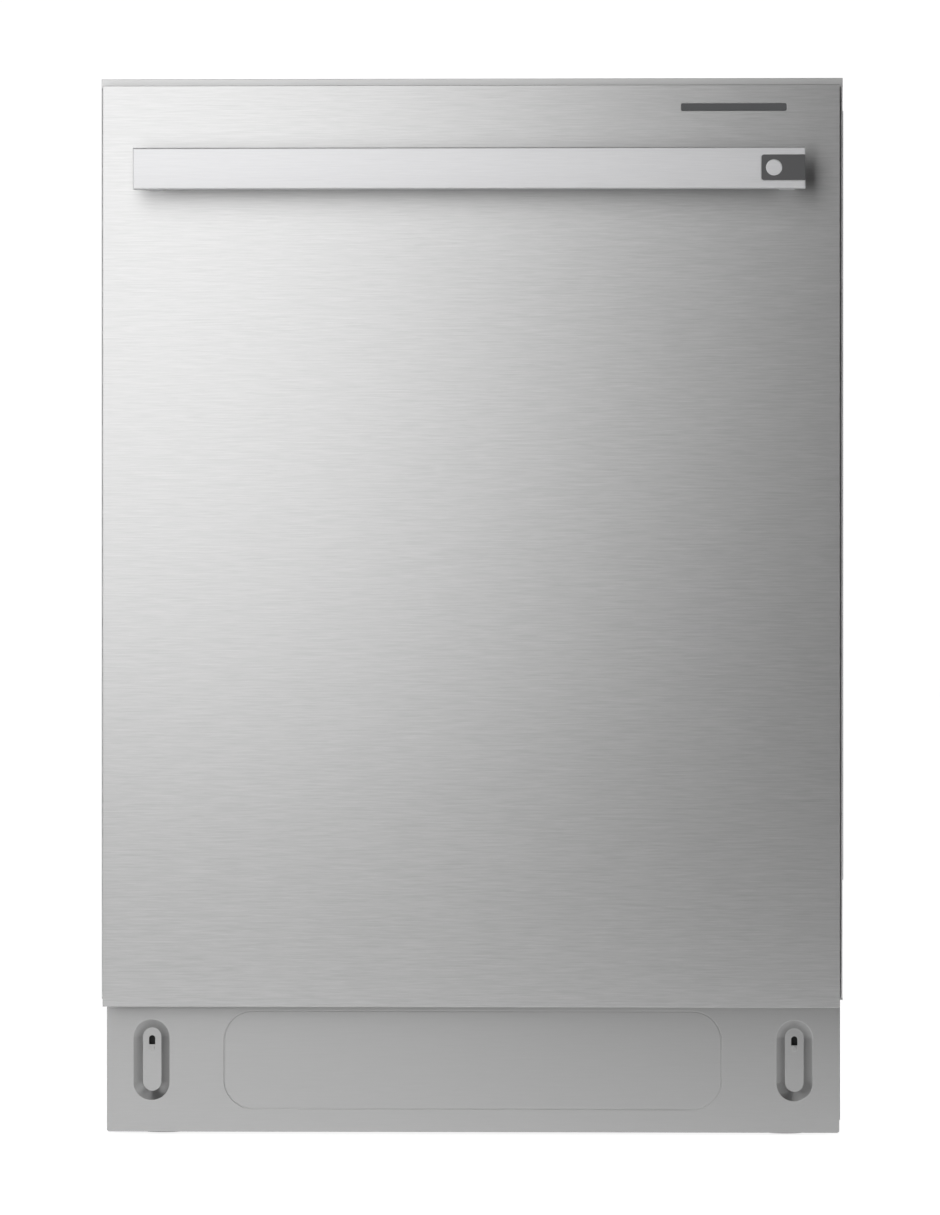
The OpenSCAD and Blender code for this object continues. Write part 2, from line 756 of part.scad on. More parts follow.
// A flat spray arm, tip to tip along X, with round ends and a hub
module spray_arm_shape(length, w, z0, h, hub_r, hub_h, bore_r) {
    difference() {
        union() {
            translate([-length / 2 + w / 2, -w / 2, z0]) cube([length - w, w, h]);
            for (x = [-1, 1])
                translate([x * (length - w) / 2, 0, z0]) cylinder(r = w / 2, h = h);
            translate([0, 0, z0]) cylinder(r = hub_r, h = hub_h);
        }
        translate([0, 0, z0 - 1]) cylinder(r = bore_r, h = h - 2);
    }
}
module lower_spray_arm() {
    color("silver") translate([0, centre_y, 0])
        spray_arm_shape(2 * arm_reach, 34, arm_z, 12, 26, arm_hub_h, pipe_r + run);
}

pump_x = sump_r + 8;
pump_y = centre_y + 40;
pump_z = 72;
motor_r = 36;
volute_r = 42;
volute_l = 32;
impeller_r = 33;
shaft_r = 4;
module circulation_pump() {
    color("dimgray") translate([-pump_x, pump_y, pump_z]) rotate([0, -90, 0]) {
        difference() {
            cylinder(r = volute_r, h = volute_l);
            translate([0, 0, 3]) cylinder(r = volute_r - 4, h = volute_l - 6);
            translate([0, 0, -1]) cylinder(r = 14, h = 5);
            translate([0, 0, volute_l - 4]) cylinder(r = shaft_r + run, h = 5);
        }
        difference() {
            translate([0, 0, volute_l]) cylinder(r = motor_r, h = 96);
            translate([0, 0, volute_l - 1]) cylinder(r = shaft_r + run, h = 60);
        }
    }
}

// Impeller on the pump's shaft
blades = 6;
module pump_impeller() {
    color("lightgray") translate([-pump_x, pump_y, pump_z]) rotate([0, -90, 0]) {
        translate([0, 0, 18]) cylinder(r = impeller_r, h = 3);
        for (n = [0 : blades - 1])
            rotate(360 * n / blades) translate([shaft_r, -1.2, 8]) cube([impeller_r - shaft_r - 4, 2.4, 11]);
        translate([0, 0, 8]) cylinder(r = shaft_r + 3, h = 12);
        translate([0, 0, 18]) cylinder(r = shaft_r, h = 66);
    }
}

module drain_pump() {
    color("dimgray") translate([sump_r + 44, centre_y - 40, 54]) rotate([-90, 0, 0]) {
        cylinder(r = 30, h = 24);
        translate([0, 0, 24]) cylinder(r = 24, h = 56);
    }
}

// Hose stub at the rear
drain_x = foot_x - 55;
drain_z = 62;
drain_l = 60;
module drain_outlet() {
    color("black") translate([-drain_x, rear_y - drain_l, drain_z]) rotate([-90, 0, 0]) difference() {
        union() {
            cylinder(r = drain_r, h = drain_l);
            cylinder(r = drain_r + 7, h = 6);
        }
        translate([0, 0, -1]) cylinder(r = drain_r - 3, h = drain_l + 2);
    }
    color("black") translate([-drain_x - 10, rear_y - drain_l, base_z0 + base_t])
        cube([20, 6, drain_z - drain_r - base_z0 - base_t - 4]);
}

valve_x = drain_x - 80;
valve_z = 68;
valve_w = 50;
valve_l = 40;
inlet_l = 20;
valve_y = rear_y - 67.5;
module inlet_valve() {
    color("white") difference() {
        union() {
            translate([-valve_x - valve_w / 2, valve_y, base_z0 + base_t])
                cube([valve_w, valve_l, valve_z + inlet_r + 3 - base_z0 - base_t]);
            translate([-valve_x, valve_y + valve_l, valve_z]) rotate([-90, 0, 0])
                cylinder(r = inlet_r, h = inlet_l);
        }
        translate([-valve_x, valve_y + valve_l - 10, valve_z]) rotate([-90, 0, 0])
            cylinder(r = inlet_r - 4, h = inlet_l + 11);
    }
}

// Junction box with a knockout for the supply
box_w = 100;
box_l = 60;
box_h = 75;
box_x = foot_x - foot_boss_r - box_w - 13;
box_y = rear_y - box_l - 10;
box_wall = 1.5;
knockout_x = box_x + 30;
knockout_z = 68;
module power_box() {
    color("silver") difference() {
        translate([box_x, box_y, base_z0 + base_t]) cube([box_w, box_l, box_h]);
        translate([box_x + box_wall, box_y + box_wall, base_z0 + base_t + box_wall])
            cube([box_w - 2 * box_wall, box_l - 2 * box_wall, box_h - 2 * box_wall]);
        translate([knockout_x, box_y + box_l - 4, knockout_z]) rotate([-90, 0, 0])
            cylinder(r = knockout_r, h = 8);
    }
}

module_w = 110;
module_l = 100;
module_h = 34;
module control_module() {
    color("black") translate([box_x - 10, box_y - 5 - module_l, base_z0 + base_t])
        cube([module_w, module_l, module_h]);
}

// Flat riser on the rear wall, with a nozzle under the ceiling
module feed_pipe() {
    color("white") {
        translate([-22, rear_in - riser_t, tub_floor]) cube([44, riser_t, tub_top - tub_floor]);
        translate([-18, centre_y, tub_top - 8]) cube([36, rear_in - riser_t / 2 - centre_y, 8]);
        translate([0, centre_y, tub_top - 16]) cylinder(r = 28, h = 16);
    }
}

// ---------- Racks ----------

rail_t = 8;
mid_t = 6;
rail_y0 = tub_front + 10;
rail_l = rear_in - 20 - rail_y0;
module rack_rails() {
    color("silver") both_sides() {
        translate([tub_half - rail_t, rail_y0, rail_z]) cube([rail_t, rail_l, rail_h]);
        translate([tub_half - rail_t, rail_y0, tray_rail_z]) cube([rail_t, rail_l, 12]);
    }
}
module middle_rails() {
    color("gray") both_sides()
        translate([tub_half - rail_t - mid_t, rail_y0 + 2, rail_z + 3])
            cube([mid_t - slide_gap, rail_l - 4, rail_h - 6]);
}

// Runners that carry a rack, and the links to its side walls
module runners(z, h, outer) {
    runner_in = rack_half + 12;
    both_sides() {
        translate([runner_in, rack_y0, z]) cube([outer - runner_in, rack_l, h]);
        for (y = [40, rack_l / 2, rack_l - 40])
            translate([rack_half + weld_gap, rack_y0 + y - 8, z]) cube([12, 16, h]);
    }
}
module upper_rack() {
    color("silver") {
        wire_basket(rack_half, rack_y0, rack_l, upper_rack_z, upper_rack_h, 13, 11);
        runners(rail_z + 5, rail_h - 10, tub_half - rail_t - mid_t - slide_gap);
    }
}
module cutlery_tray() {
    color("silver") {
        wire_basket(rack_half, rack_y0, rack_l, tray_z, tray_h, 17, 11);
        runners(tray_rail_z + 2, 8, tub_half - rail_t - slide_gap);
    }
}

// Tube under the upper rack that feeds the upper spray arm
tube_r = 9;
tube_z = upper_rack_z - tube_r - 0.2;
spindle_r = 8;
mid_z = tube_z - tube_r - 15;
module rack_feed_tube() {
    color("white") {
        translate([0, centre_y, tube_z]) rotate([-90, 0, 0]) cylinder(r = tube_r, h = rack_y1 - centre_y);
        translate([0, centre_y, mid_z - 2]) cylinder(r = spindle_r, h = tube_z - mid_z + 2);
        translate([0, centre_y, mid_z - 5]) cylinder(r = spindle_r + 5, h = 3.2);
    }
}
module mid_spray_arm() {
    color("silver") translate([0, centre_y, 0]) difference() {
        spray_arm_shape(2 * arm_reach - mid_arm_less, 30, mid_z, 11, 20, 13, spindle_r + run);
        translate([0, 0, mid_z - 1]) cylinder(r = spindle_r + run, h = 16);
    }
}

// Lower rack, with stub axles for its wheels
axle_r = 4;
wheel_w = 10;
wheel_x = rack_half + 4;
wheel_z = ledge_z + wheel_r + slide_gap;
front_axle_y = rack_y0 + 110;
rear_axle_y = rack_y1 - 60;
module lower_rack() {
    color("silver") wire_basket(rack_half, rack_y0, rack_l, lower_rack_z, lower_rack_h, 13, 11);
    color("gray") both_sides() for (y = [front_axle_y, rear_axle_y]) {
        translate([rack_half + weld_gap, y - 8, wheel_z - 6]) cube([3, 16, lower_rack_z + 20 - wheel_z]);
        translate([rack_half + 2, y, wheel_z]) rotate([0, 90, 0]) cylinder(r = axle_r, h = wheel_w + 5);
    }
}
module wheel_pair(y) {
    color("lightgray") both_sides() translate([wheel_x, y, wheel_z]) rotate([0, 90, 0]) difference() {
        cylinder(r = wheel_r, h = wheel_w);
        translate([0, 0, -1]) cylinder(r = axle_r + run, h = wheel_w + 2);
    }
}
module front_wheels() wheel_pair(front_axle_y);
module rear_wheels() wheel_pair(rear_axle_y);

// Lift-out cutlery basket with four cells
basket_w = 140;
basket_l = 100;
basket_h = 110;
basket_wall = 2;
basket_x = rack_half - basket_w - 42;
basket_y = rack_y0 + wire + 10;
basket_z = lower_rack_z + wire + slide_gap;
module cutlery_basket() {
    cell_w = (basket_w - 3 * basket_wall) / 2;
    cell_l = (basket_l - 3 * basket_wall) / 2;
    color("lightgray") difference() {
        translate([basket_x, basket_y, basket_z]) cube([basket_w, basket_l, basket_h]);
        for (i = [0, 1], j = [0, 1])
            translate([basket_x + basket_wall + i * (cell_w + basket_wall),
                basket_y + basket_wall + j * (cell_l + basket_wall), basket_z + basket_wall])
                cube([cell_w, cell_l, basket_h]);
    }
}

door_outer_panel();
door_inner_panel();
door_insulation();
handle_bar();
handle_posts();
handle_inlay();
inlay_disc();
display_window();
control_strip();
power_button();
program_button();
start_button();
door_lock();
lock_bolt();
dispenser();
detergent_lid();
rinse_aid_cap();
hinge_arms();
door_bottom_seal();
front_frame();
side_trim_strips();
tub_sides();
tub_ceiling();
tub_back();
tub_bottom();
tub_gasket();
insulation_mat();
side_panels();
back_panel();
base_tray();
toe_kick();
counter_tabs();
striker();
hinge_brackets();
door_springs();
sump();
coarse_filter();
filter_cylinder();
circulation_pump();
pump_impeller();
drain_pump();
drain_outlet();
inlet_valve();
power_box();
control_module();
feed_pipe();
rack_rails();
middle_rails();
upper_rack();
rack_feed_tube();
mid_spray_arm();
cutlery_tray();
lower_rack();
front_wheels();
rear_wheels();
cutlery_basket();
lower_spray_arm();
front_foot_left();
front_foot_right();
rear_feet();
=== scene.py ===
"""Looks of a built-in dishwasher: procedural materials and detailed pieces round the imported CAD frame."""

import json
import math

import bmesh
import bpy
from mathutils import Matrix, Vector


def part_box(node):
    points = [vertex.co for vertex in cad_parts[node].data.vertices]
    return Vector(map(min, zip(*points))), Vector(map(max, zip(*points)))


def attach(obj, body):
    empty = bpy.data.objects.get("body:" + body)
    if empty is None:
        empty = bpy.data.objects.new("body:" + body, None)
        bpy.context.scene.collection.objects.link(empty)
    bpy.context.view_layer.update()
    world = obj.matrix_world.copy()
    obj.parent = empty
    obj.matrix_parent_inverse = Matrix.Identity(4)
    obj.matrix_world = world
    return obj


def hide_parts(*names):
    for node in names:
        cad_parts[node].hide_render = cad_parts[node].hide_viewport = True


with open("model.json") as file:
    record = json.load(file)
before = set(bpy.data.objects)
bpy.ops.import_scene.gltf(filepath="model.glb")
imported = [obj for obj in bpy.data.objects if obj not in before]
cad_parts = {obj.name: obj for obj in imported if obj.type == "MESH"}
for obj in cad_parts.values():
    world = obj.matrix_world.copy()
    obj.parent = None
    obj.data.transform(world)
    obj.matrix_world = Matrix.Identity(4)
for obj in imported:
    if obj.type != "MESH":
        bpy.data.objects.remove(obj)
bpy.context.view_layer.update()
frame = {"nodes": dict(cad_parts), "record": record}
scene = bpy.context.scene
scene.view_settings.view_transform = "Standard"


# ---------- Places and directions ----------

def span(node):
    """Lowest and highest corner of a CAD node, and its centre."""
    low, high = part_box(node)
    return low, high, (low + high) / 2


def about(middle, half):
    """Both ends of a reach, from its middle and half its length."""
    return middle - half, middle + half


def steps(low, high, count):
    """Evenly spaced values, both ends included."""
    return [low + (high - low) * i / (count - 1) for i in range(count)]


def turns(count, start=0.0):
    """Angles spread evenly round a full turn."""
    return [start + 2 * math.pi * k / count for k in range(count)]


def square_to(axis):
    """The unit axis and two unit directions square to it."""
    axis = Vector(axis).normalized()
    u = axis.orthogonal().normalized()
    return axis, u, axis.cross(u)


def spoke(u, v, turn):
    """The unit direction at an angle from u towards v."""
    return math.cos(turn) * u + math.sin(turn) * v


# ---------- Materials ----------

BLACK, WHITE = (0, 0, 0), (1, 1, 1)
FLAT, SHARP = 0.999, 0.85      # dot product of the true normal and the rounded one, on a flat and on an edge


def grey(value):
    return (value, value, value)


def shade(tone, factor, lift=0.0):
    """A darker or lighter tone, at most white."""
    return tuple(min(1, t * factor + lift) for t in tone)


class Nodes:
    """A small helper round one material's node tree."""

    def __init__(self, name):
        self.mat = bpy.data.materials.new(name)
        self.mat.use_nodes = True
        self.tree = self.mat.node_tree
        self.shader = self.tree.nodes["Principled BSDF"]

    def add(self, kind, **settings):
        node = self.tree.nodes.new("ShaderNode" + kind)
        for key, value in settings.items():
            setattr(node, key, value)
        return node

    def link(self, source, target):
        self.tree.links.new(source, target)

    def set(self, **values):
        for key, value in values.items():
            self.shader.inputs[key.replace("_", " ")].default_value = value

    def drive(self, **sources):
        """Feeds sockets of the shader from other nodes."""
        for key, source in sources.items():
            self.link(source, self.shader.inputs[key.replace("_", " ")])

    def coords(self, scale=(1, 1, 1)):
        """Object coordinates, stretched by scale."""
        where = self.add("TexCoord")
        mapping = self.add("Mapping")
        mapping.inputs["Scale"].default_value = scale
        self.link(where.outputs["Object"], mapping.inputs["Vector"])
        return mapping.outputs["Vector"]

    def noise(self, scale, detail=4, rough=0.55, stretch=(1, 1, 1), waver=0.0):
        tex = self.add("TexNoise")
        tex.inputs["Distortion"].default_value = waver
        tex.inputs["Scale"].default_value = scale
        tex.inputs["Detail"].default_value = detail
        tex.inputs["Roughness"].default_value = rough
        self.link(self.coords(stretch), tex.inputs["Vector"])
        return tex.outputs["Fac"]

    def ramp(self, source, stops):
        """Grey ramp; stops are (position, grey)."""
        ramp = self.add("ValToRGB")
        for element, (at, value) in zip(ramp.color_ramp.elements, stops):
            element.position = at
            element.color = (*grey(value), 1)
        self.link(source, ramp.inputs["Fac"])
        return ramp.outputs["Color"]

    def remap(self, source, low, high, start=0.0, end=1.0, curve="LINEAR"):
        """Source from start..end mapped to low..high."""
        node = self.add("MapRange", interpolation_type=curve)
        for key, value in (("From Min", start), ("From Max", end), ("To Min", low), ("To Max", high)):
            node.inputs[key].default_value = value
        self.link(source, node.inputs["Value"])
        return node.outputs["Result"]

    def mix(self, factor, a, b):
        """Mix of two colours or sockets by a factor or a socket."""
        node = self.add("MixRGB")
        for key, value in (("Fac", factor), ("Color1", a), ("Color2", b)):
            socket = node.inputs[key]
            if isinstance(value, bpy.types.NodeSocket):
                self.link(value, socket)
            else:
                socket.default_value = value if key == "Fac" else (*value, 1)
        return node.outputs["Color"]

    def bevel(self, radius):
        """Normals as if edges were rounded."""
        node = self.add("Bevel", samples=4)
        node.inputs["Radius"].default_value = radius
        return node.outputs["Normal"]

    def bump(self, height, strength, distance, round_edge=0.0):
        """Bump from height, over an edge rounded by round_edge metres."""
        node = self.add("Bump")
        node.inputs["Strength"].default_value = strength
        node.inputs["Distance"].default_value = distance
        self.link(height, node.inputs["Height"])
        if round_edge:
            self.link(self.bevel(round_edge), node.inputs["Normal"])
        self.drive(Normal=node.outputs["Normal"])

    def edge_highlight_mask(self, radius=0.002):
        """About 1 on sharp edges and 0 on flats: how far a rounded normal leans from the true one; it marks
        where edges get a painted highlight.
        """
        geometry = self.add("NewGeometry")
        dot = self.add("VectorMath", operation="DOT_PRODUCT")
        self.link(self.bevel(radius), dot.inputs[0])
        self.link(geometry.outputs["Normal"], dot.inputs[1])
        return self.remap(dot.outputs["Value"], 0, 1, FLAT, SHARP)


def brushed_metal(name, tone, rough, grain, edge, round_edge=0.0008, along="x"):
    """Brushed or satin sheet metal with long fine scratches along one axis, with a painted highlight that
    lightens its edges.
    """
    n = Nodes(name)
    stretch = {"x": (2.2, 60, 60), "y": (60, 2.2, 60)}[along]
    fine = n.noise(scale=22, detail=6, rough=0.65, stretch=stretch, waver=0.35)
    scratches = n.noise(scale=9, detail=3, rough=0.6, stretch=[s * 1.7 for s in stretch], waver=0.35)
    cloudy = n.noise(scale=2.2, detail=2, rough=0.5)
    both = n.mix(0.45, fine, scratches)
    streaks = n.ramp(both, [(0.34, 0.0), (0.66, 1.0)])
    colour = n.mix(streaks, shade(tone, 1 - 0.20 * grain), shade(tone, 1 + 0.16 * grain))
    colour = n.mix(n.remap(cloudy, 0, 0.10), colour, shade(tone, 0.86))
    # Painted highlight: edges are mixed towards a lighter tone by the edge strength, standing in for light
    # caught on rounded edges.
    colour = n.mix(n.mix(edge, BLACK, n.edge_highlight_mask()), colour, shade(tone, 1.25))
    spread = 0.22 * grain
    n.drive(Base_Color=colour, Roughness=n.remap(both, rough * (1 - spread), rough * (1 + spread)))
    n.set(Metallic=1.0)
    n.bump(both, strength=0.25 * grain, distance=0.00012, round_edge=round_edge)
    return n.mat


def plastic(name, tone, rough, texture, coat=0.0, scale=900, round_edge=0.0006):
    """Moulded plastic with a fine spark-eroded texture, slightly uneven in tone, with a painted highlight
    that lightens its edges.
    """
    n = Nodes(name)
    fine = n.noise(scale, detail=3, rough=0.6)
    cloudy = n.noise(scale=6, detail=3, rough=0.5)
    colour = n.mix(n.remap(cloudy, 0.0, 0.55), tone, shade(tone, 0.86))
    # Painted highlight: edges are mixed towards a lighter tone by a fixed share.
    colour = n.mix(n.mix(0.22, BLACK, n.edge_highlight_mask(0.0015)), colour, shade(tone, 1.5, lift=0.02))
    n.drive(Base_Color=colour, Roughness=n.remap(fine, rough * 0.88, min(1, rough * 1.12)))
    n.set(Coat_Weight=coat, Coat_Roughness=0.08)
    n.bump(fine, strength=0.35 * texture, distance=0.00008, round_edge=round_edge)
    return n.mat


def rubber(name):
    n = Nodes(name)
    fine = n.noise(scale=420, detail=4, rough=0.6)
    dust = n.noise(scale=18, detail=5, rough=0.6)
    colour = n.mix(n.remap(dust, 0.0, 0.35), (0.018, 0.018, 0.019), (0.05, 0.05, 0.052))
    n.drive(Base_Color=colour, Roughness=n.remap(fine, 0.62, 0.82))
    n.bump(fine, strength=0.3, distance=0.0001, round_edge=0.0008)
    return n.mat


def felt(name):
    n = Nodes(name)
    tone = (0.075, 0.074, 0.072)
    fibre = n.noise(scale=260, detail=8, rough=0.75)
    tufts = n.noise(scale=34, detail=5, rough=0.6)
    n.drive(Base_Color=n.mix(fibre, tone, shade(tone, 1.9)))
    n.set(Roughness=0.95, Sheen_Weight=0.35)
    n.bump(n.mix(0.5, fibre, tufts), strength=0.8, distance=0.0012)
    return n.mat


def galvanised(name):
    """Zinc-coated sheet with faint spangles."""
    n = Nodes(name)
    tone = (0.50, 0.515, 0.53)
    cells = n.add("TexVoronoi", feature="F1")
    cells.inputs["Scale"].default_value = 85
    n.link(n.coords(), cells.inputs["Vector"])
    to_grey = n.add("RGBToBW")
    n.link(cells.outputs["Color"], to_grey.inputs["Color"])
    spangle = to_grey.outputs["Val"]
    cloudy = n.noise(scale=5, detail=4, rough=0.55)
    colour = n.mix(spangle, shade(tone, 0.86), shade(tone, 1.10))
    colour = n.mix(n.remap(cloudy, 0, 0.25), colour, shade(tone, 0.75))
    n.drive(Base_Color=colour, Roughness=n.remap(spangle, 0.34, 0.5))
    n.set(Metallic=1.0)
    n.bump(n.noise(scale=500, detail=2, rough=0.5), strength=0.12, distance=0.0001, round_edge=0.0008)
    return n.mat


def smoked_lens(name):
    n = Nodes(name)
    smear = n.noise(scale=14, detail=4, rough=0.6)
    colour = n.mix(n.remap(smear, 0, 0.5), (0.17, 0.172, 0.178), (0.20, 0.202, 0.208))
    n.drive(Base_Color=colour, Roughness=n.remap(smear, 0.10, 0.2))
    n.set(Coat_Weight=0.6, Coat_Roughness=0.04)
    n.bump(n.noise(scale=300, detail=2, rough=0.5), strength=0.04, distance=0.00005, round_edge=0.0004)
    return n.mat


def perforated(name, tone, pitch=0.0034):
    """Fine stainless strainer: rows of round holes, painted near-black as the shade seen through them."""
    n = Nodes(name)
    cell = n.add("VectorMath", operation="FRACTION")
    n.link(n.coords(grey(1 / pitch)), cell.inputs[0])
    flat = n.add("VectorMath", operation="MULTIPLY_ADD")
    flat.inputs[1].default_value = (1, 1, 0)
    flat.inputs[2].default_value = (0, 0, 0.5)
    n.link(cell.outputs["Vector"], flat.inputs[0])
    centre = n.add("VectorMath", operation="DISTANCE")
    n.link(flat.outputs["Vector"], centre.inputs[0])
    centre.inputs[1].default_value = grey(0.5)
    hole = n.ramp(centre.outputs["Value"], [(0.27, 1.0), (0.33, 0.0)])
    # Painted shade: the holes get a near-black colour in place of the dark seen through them.
    n.drive(Base_Color=n.mix(hole, tone, grey(0.012)), Roughness=n.remap(n.noise(scale=60), 0.25, 0.4))
    n.set(Metallic=1.0)
    n.bump(n.mix(hole, WHITE, BLACK), strength=0.5, distance=0.0004)
    return n.mat


MATERIALS = {
    "brushed_stainless": brushed_metal("brushed_stainless", grey(0.46), 0.37, grain=0.6, edge=0.3,
                                       round_edge=0.0010),
    "satin_handle": brushed_metal("satin_handle", (0.72, 0.72, 0.73), 0.50, grain=0.22, edge=0.15,
                                  round_edge=0.0012),
    "bright_stainless": brushed_metal("bright_stainless", grey(0.78), 0.28, grain=0.35, edge=0.2),
    "satin_kick": brushed_metal("satin_kick", grey(0.42), 0.33, grain=0.12, edge=0.3, round_edge=0.0006),
    "galvanised": galvanised("galvanised"),
    "smoked_lens": smoked_lens("smoked_lens"),
    "dark_inlay": plastic("dark_inlay", (0.115, 0.115, 0.118), 0.42, texture=0.3),
    "black_rubber": rubber("black_rubber"),
    "felt": felt("felt"),
    "black_plastic": plastic("black_plastic", (0.035, 0.035, 0.036), 0.55, texture=0.9),
    "white_plastic": plastic("white_plastic", (0.74, 0.74, 0.72), 0.42, texture=0.4),
    "grey_plastic": plastic("grey_plastic", (0.22, 0.235, 0.25), 0.4, texture=0.5),
    "button_metal": brushed_metal("button_metal", grey(0.7), 0.25, grain=0.3, edge=0.2, round_edge=0.0006),
    "spring_steel": brushed_metal("spring_steel", (0.36, 0.36, 0.37), 0.35, grain=0.3, edge=0.1,
                                  round_edge=0.0, along="y"),
    "coated_wire": plastic("coated_wire", (0.42, 0.43, 0.44), 0.34, texture=0.2, coat=0.25, scale=400,
                           round_edge=0.0),
    "foot_plastic": plastic("foot_plastic", (0.06, 0.06, 0.062), 0.6, texture=1.0),
}

for part in frame["record"]["subparts"]:
    node = frame["nodes"][part["node"]]
    node.data.materials.clear()
    node.data.materials.append(MATERIALS[part["material_slot"]])
frame["nodes"]["coarse_filter"].data.materials[0] = perforated("strainer", grey(0.66))
frame["nodes"]["front_frame"].data.materials[0] = brushed_metal("frame_metal", grey(0.62), 0.48, grain=0.15,
                                                                edge=0.2)


# ---------- Mesh and wire tools ----------

def place(obj, body, slot, replaced=()):
    """Links a new piece, gives it its material, and rides it on a body."""
    scene.collection.objects.link(obj)
    obj.data.materials.append(MATERIALS[slot])
    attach(obj, body)
    if replaced:
        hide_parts(*replaced)


class Shape:
    """Collects solids in one mesh."""

    def __init__(self):
        self.bm = bmesh.new()

    def box(self, xs, ys, zs, bevel=0.0, segments=2):
        """A block given by both ends of its reach along each axis, in either order."""
        ends = [sorted(reach) for reach in (xs, ys, zs)]
        low, high = [Vector([reach[k] for reach in ends]) for k in (0, 1)]
        corners = bmesh.ops.create_cube(self.bm, size=1)["verts"]
        bmesh.ops.scale(self.bm, vec=high - low, verts=corners)
        bmesh.ops.translate(self.bm, vec=(low + high) / 2, verts=corners)
        if bevel:
            edges = list({edge for corner in corners for edge in corner.link_edges})
            bmesh.ops.bevel(self.bm, geom=edges, offset=bevel, segments=segments, affect="EDGES", profile=0.5)

    def rings(self, rings, closed=False):
        """Skins rings of points; a ring of one point is a pole."""
        made = [[self.bm.verts.new(p) for p in ring] for ring in rings]
        pairs = list(zip(made, made[1:]))
        if closed:
            pairs.append((made[-1], made[0]))
        for a, b in pairs:
            count = max(len(a), len(b))
            for k in range(count):
                m = (k + 1) % count
                if len(a) == 1:
                    self.bm.faces.new((a[0], b[m], b[k]))
                elif len(b) == 1:
                    self.bm.faces.new((a[k], a[m], b[0]))
                else:
                    self.bm.faces.new((a[k], a[m], b[m], b[k]))

    def capped(self, rings):
        """Skins rings and closes both ends over the middle of the end rings."""
        poles = [[sum((Vector(p) for p in ring), Vector()) / len(ring)] for ring in (rings[0], rings[-1])]
        self.rings([poles[0]] + rings + [poles[1]])

    def lathe(self, profile, origin, axis, sides=48, closed=False):
        """Turns a profile of (radius, distance along the axis) round the axis."""
        axis, u, v = square_to(axis)
        rings = []
        for radius, along in profile:
            base = Vector(origin) + along * axis
            rings.append([base + radius * spoke(u, v, t) for t in turns(sides if radius else 1)])
        self.rings(rings, closed)

    def thread(self, origin, axis, radius, length, pitch, depth, bore=0.0, sides=24):
        """A screw thread: its crest winds round the axis, and it is hollow where bore is given."""
        axis, u, v = square_to(axis)
        rows = round(length / pitch * 6)
        rings = []
        for i in range(rows + 1):
            along = length * i / rows
            fade = min(1, i / 4, (rows - i) / 4)      # the thread runs out at both ends
            ring = []
            for t in turns(sides):
                phase = (along / pitch - t / (2 * math.pi)) % 1
                height = radius - depth * (1 - fade * (1 - abs(2 * phase - 1)))
                ring.append(Vector(origin) + axis * along + height * spoke(u, v, t))
            rings.append(ring)
        ends = (Vector(origin) + axis * length, Vector(origin))
        if bore:
            rings += [[end + bore * spoke(u, v, t) for t in turns(sides)] for end in ends]
            self.rings(rings, closed=True)
        else:
            self.rings([[ends[1]]] + rings + [[ends[0]]])

    def finish(self, name, body, slot, replaced=(), crease=40):
        bmesh.ops.recalc_face_normals(self.bm, faces=self.bm.faces)
        mesh = bpy.data.meshes.new(name)
        self.bm.to_mesh(mesh)
        self.bm.free()
        mesh.polygons.foreach_set("use_smooth", [True] * len(mesh.polygons))
        mesh.set_sharp_from_angle(angle=math.radians(crease))
        place(bpy.data.objects.new(name, mesh), body, slot, replaced)


def rounded(points, radius, closed=False, pieces=4):
    """A path whose corners are rounded off at about the given radius."""
    points = [Vector(p) for p in points]
    count = len(points)
    path = []
    for i, corner in enumerate(points):
        if not closed and i in (0, count - 1):
            path.append(corner)
            continue
        before, after = points[i - 1], points[(i + 1) % count]
        cut = min(radius, (before - corner).length * 0.45, (after - corner).length * 0.45)
        start = corner + (before - corner).normalized() * cut
        end = corner + (after - corner).normalized() * cut
        for t in steps(0, 1, pieces + 1):
            path.append(start * (1 - t) ** 2 + corner * 2 * t * (1 - t) + end * t ** 2)
    return path


def wires(name, paths, radius, body, slot, replaced=(), closed=False):
    """Round wires along paths."""
    curve = bpy.data.curves.new(name, "CURVE")
    curve.dimensions = "3D"
    curve.bevel_depth = radius
    curve.bevel_resolution = 2
    curve.use_fill_caps = True
    for points in paths:
        spline = curve.splines.new("POLY")
        spline.points.add(len(points) - 1)
        for knot, point in zip(spline.points, points):
            knot.co = (*point, 1)
        spline.use_cyclic_u = closed
        spline.use_smooth = True
    place(bpy.data.objects.new(name, curve), body, slot, replaced)


# ---------- Racks ----------

WIRE = 0.0018            # radius of a rack's wires
RIM = 0.0024             # radius of its rims
TINE = WIRE * 0.85       # radius of its plate holders
LAYER = 3 * WIRE         # height of the upper layer of floor wires
BEND = 0.014
RIM_BEND = 0.020
TINE_BEND = 0.012
ACROSS_MARGIN = 0.012    # from the front and rear walls to the first wire across
ALONG_MARGIN = 0.014     # from the side walls to the first wire along
ARM_HALF = 0.008         # half length of a runner's arm
PAD_HALF = 0.013         # half length of the pad under it


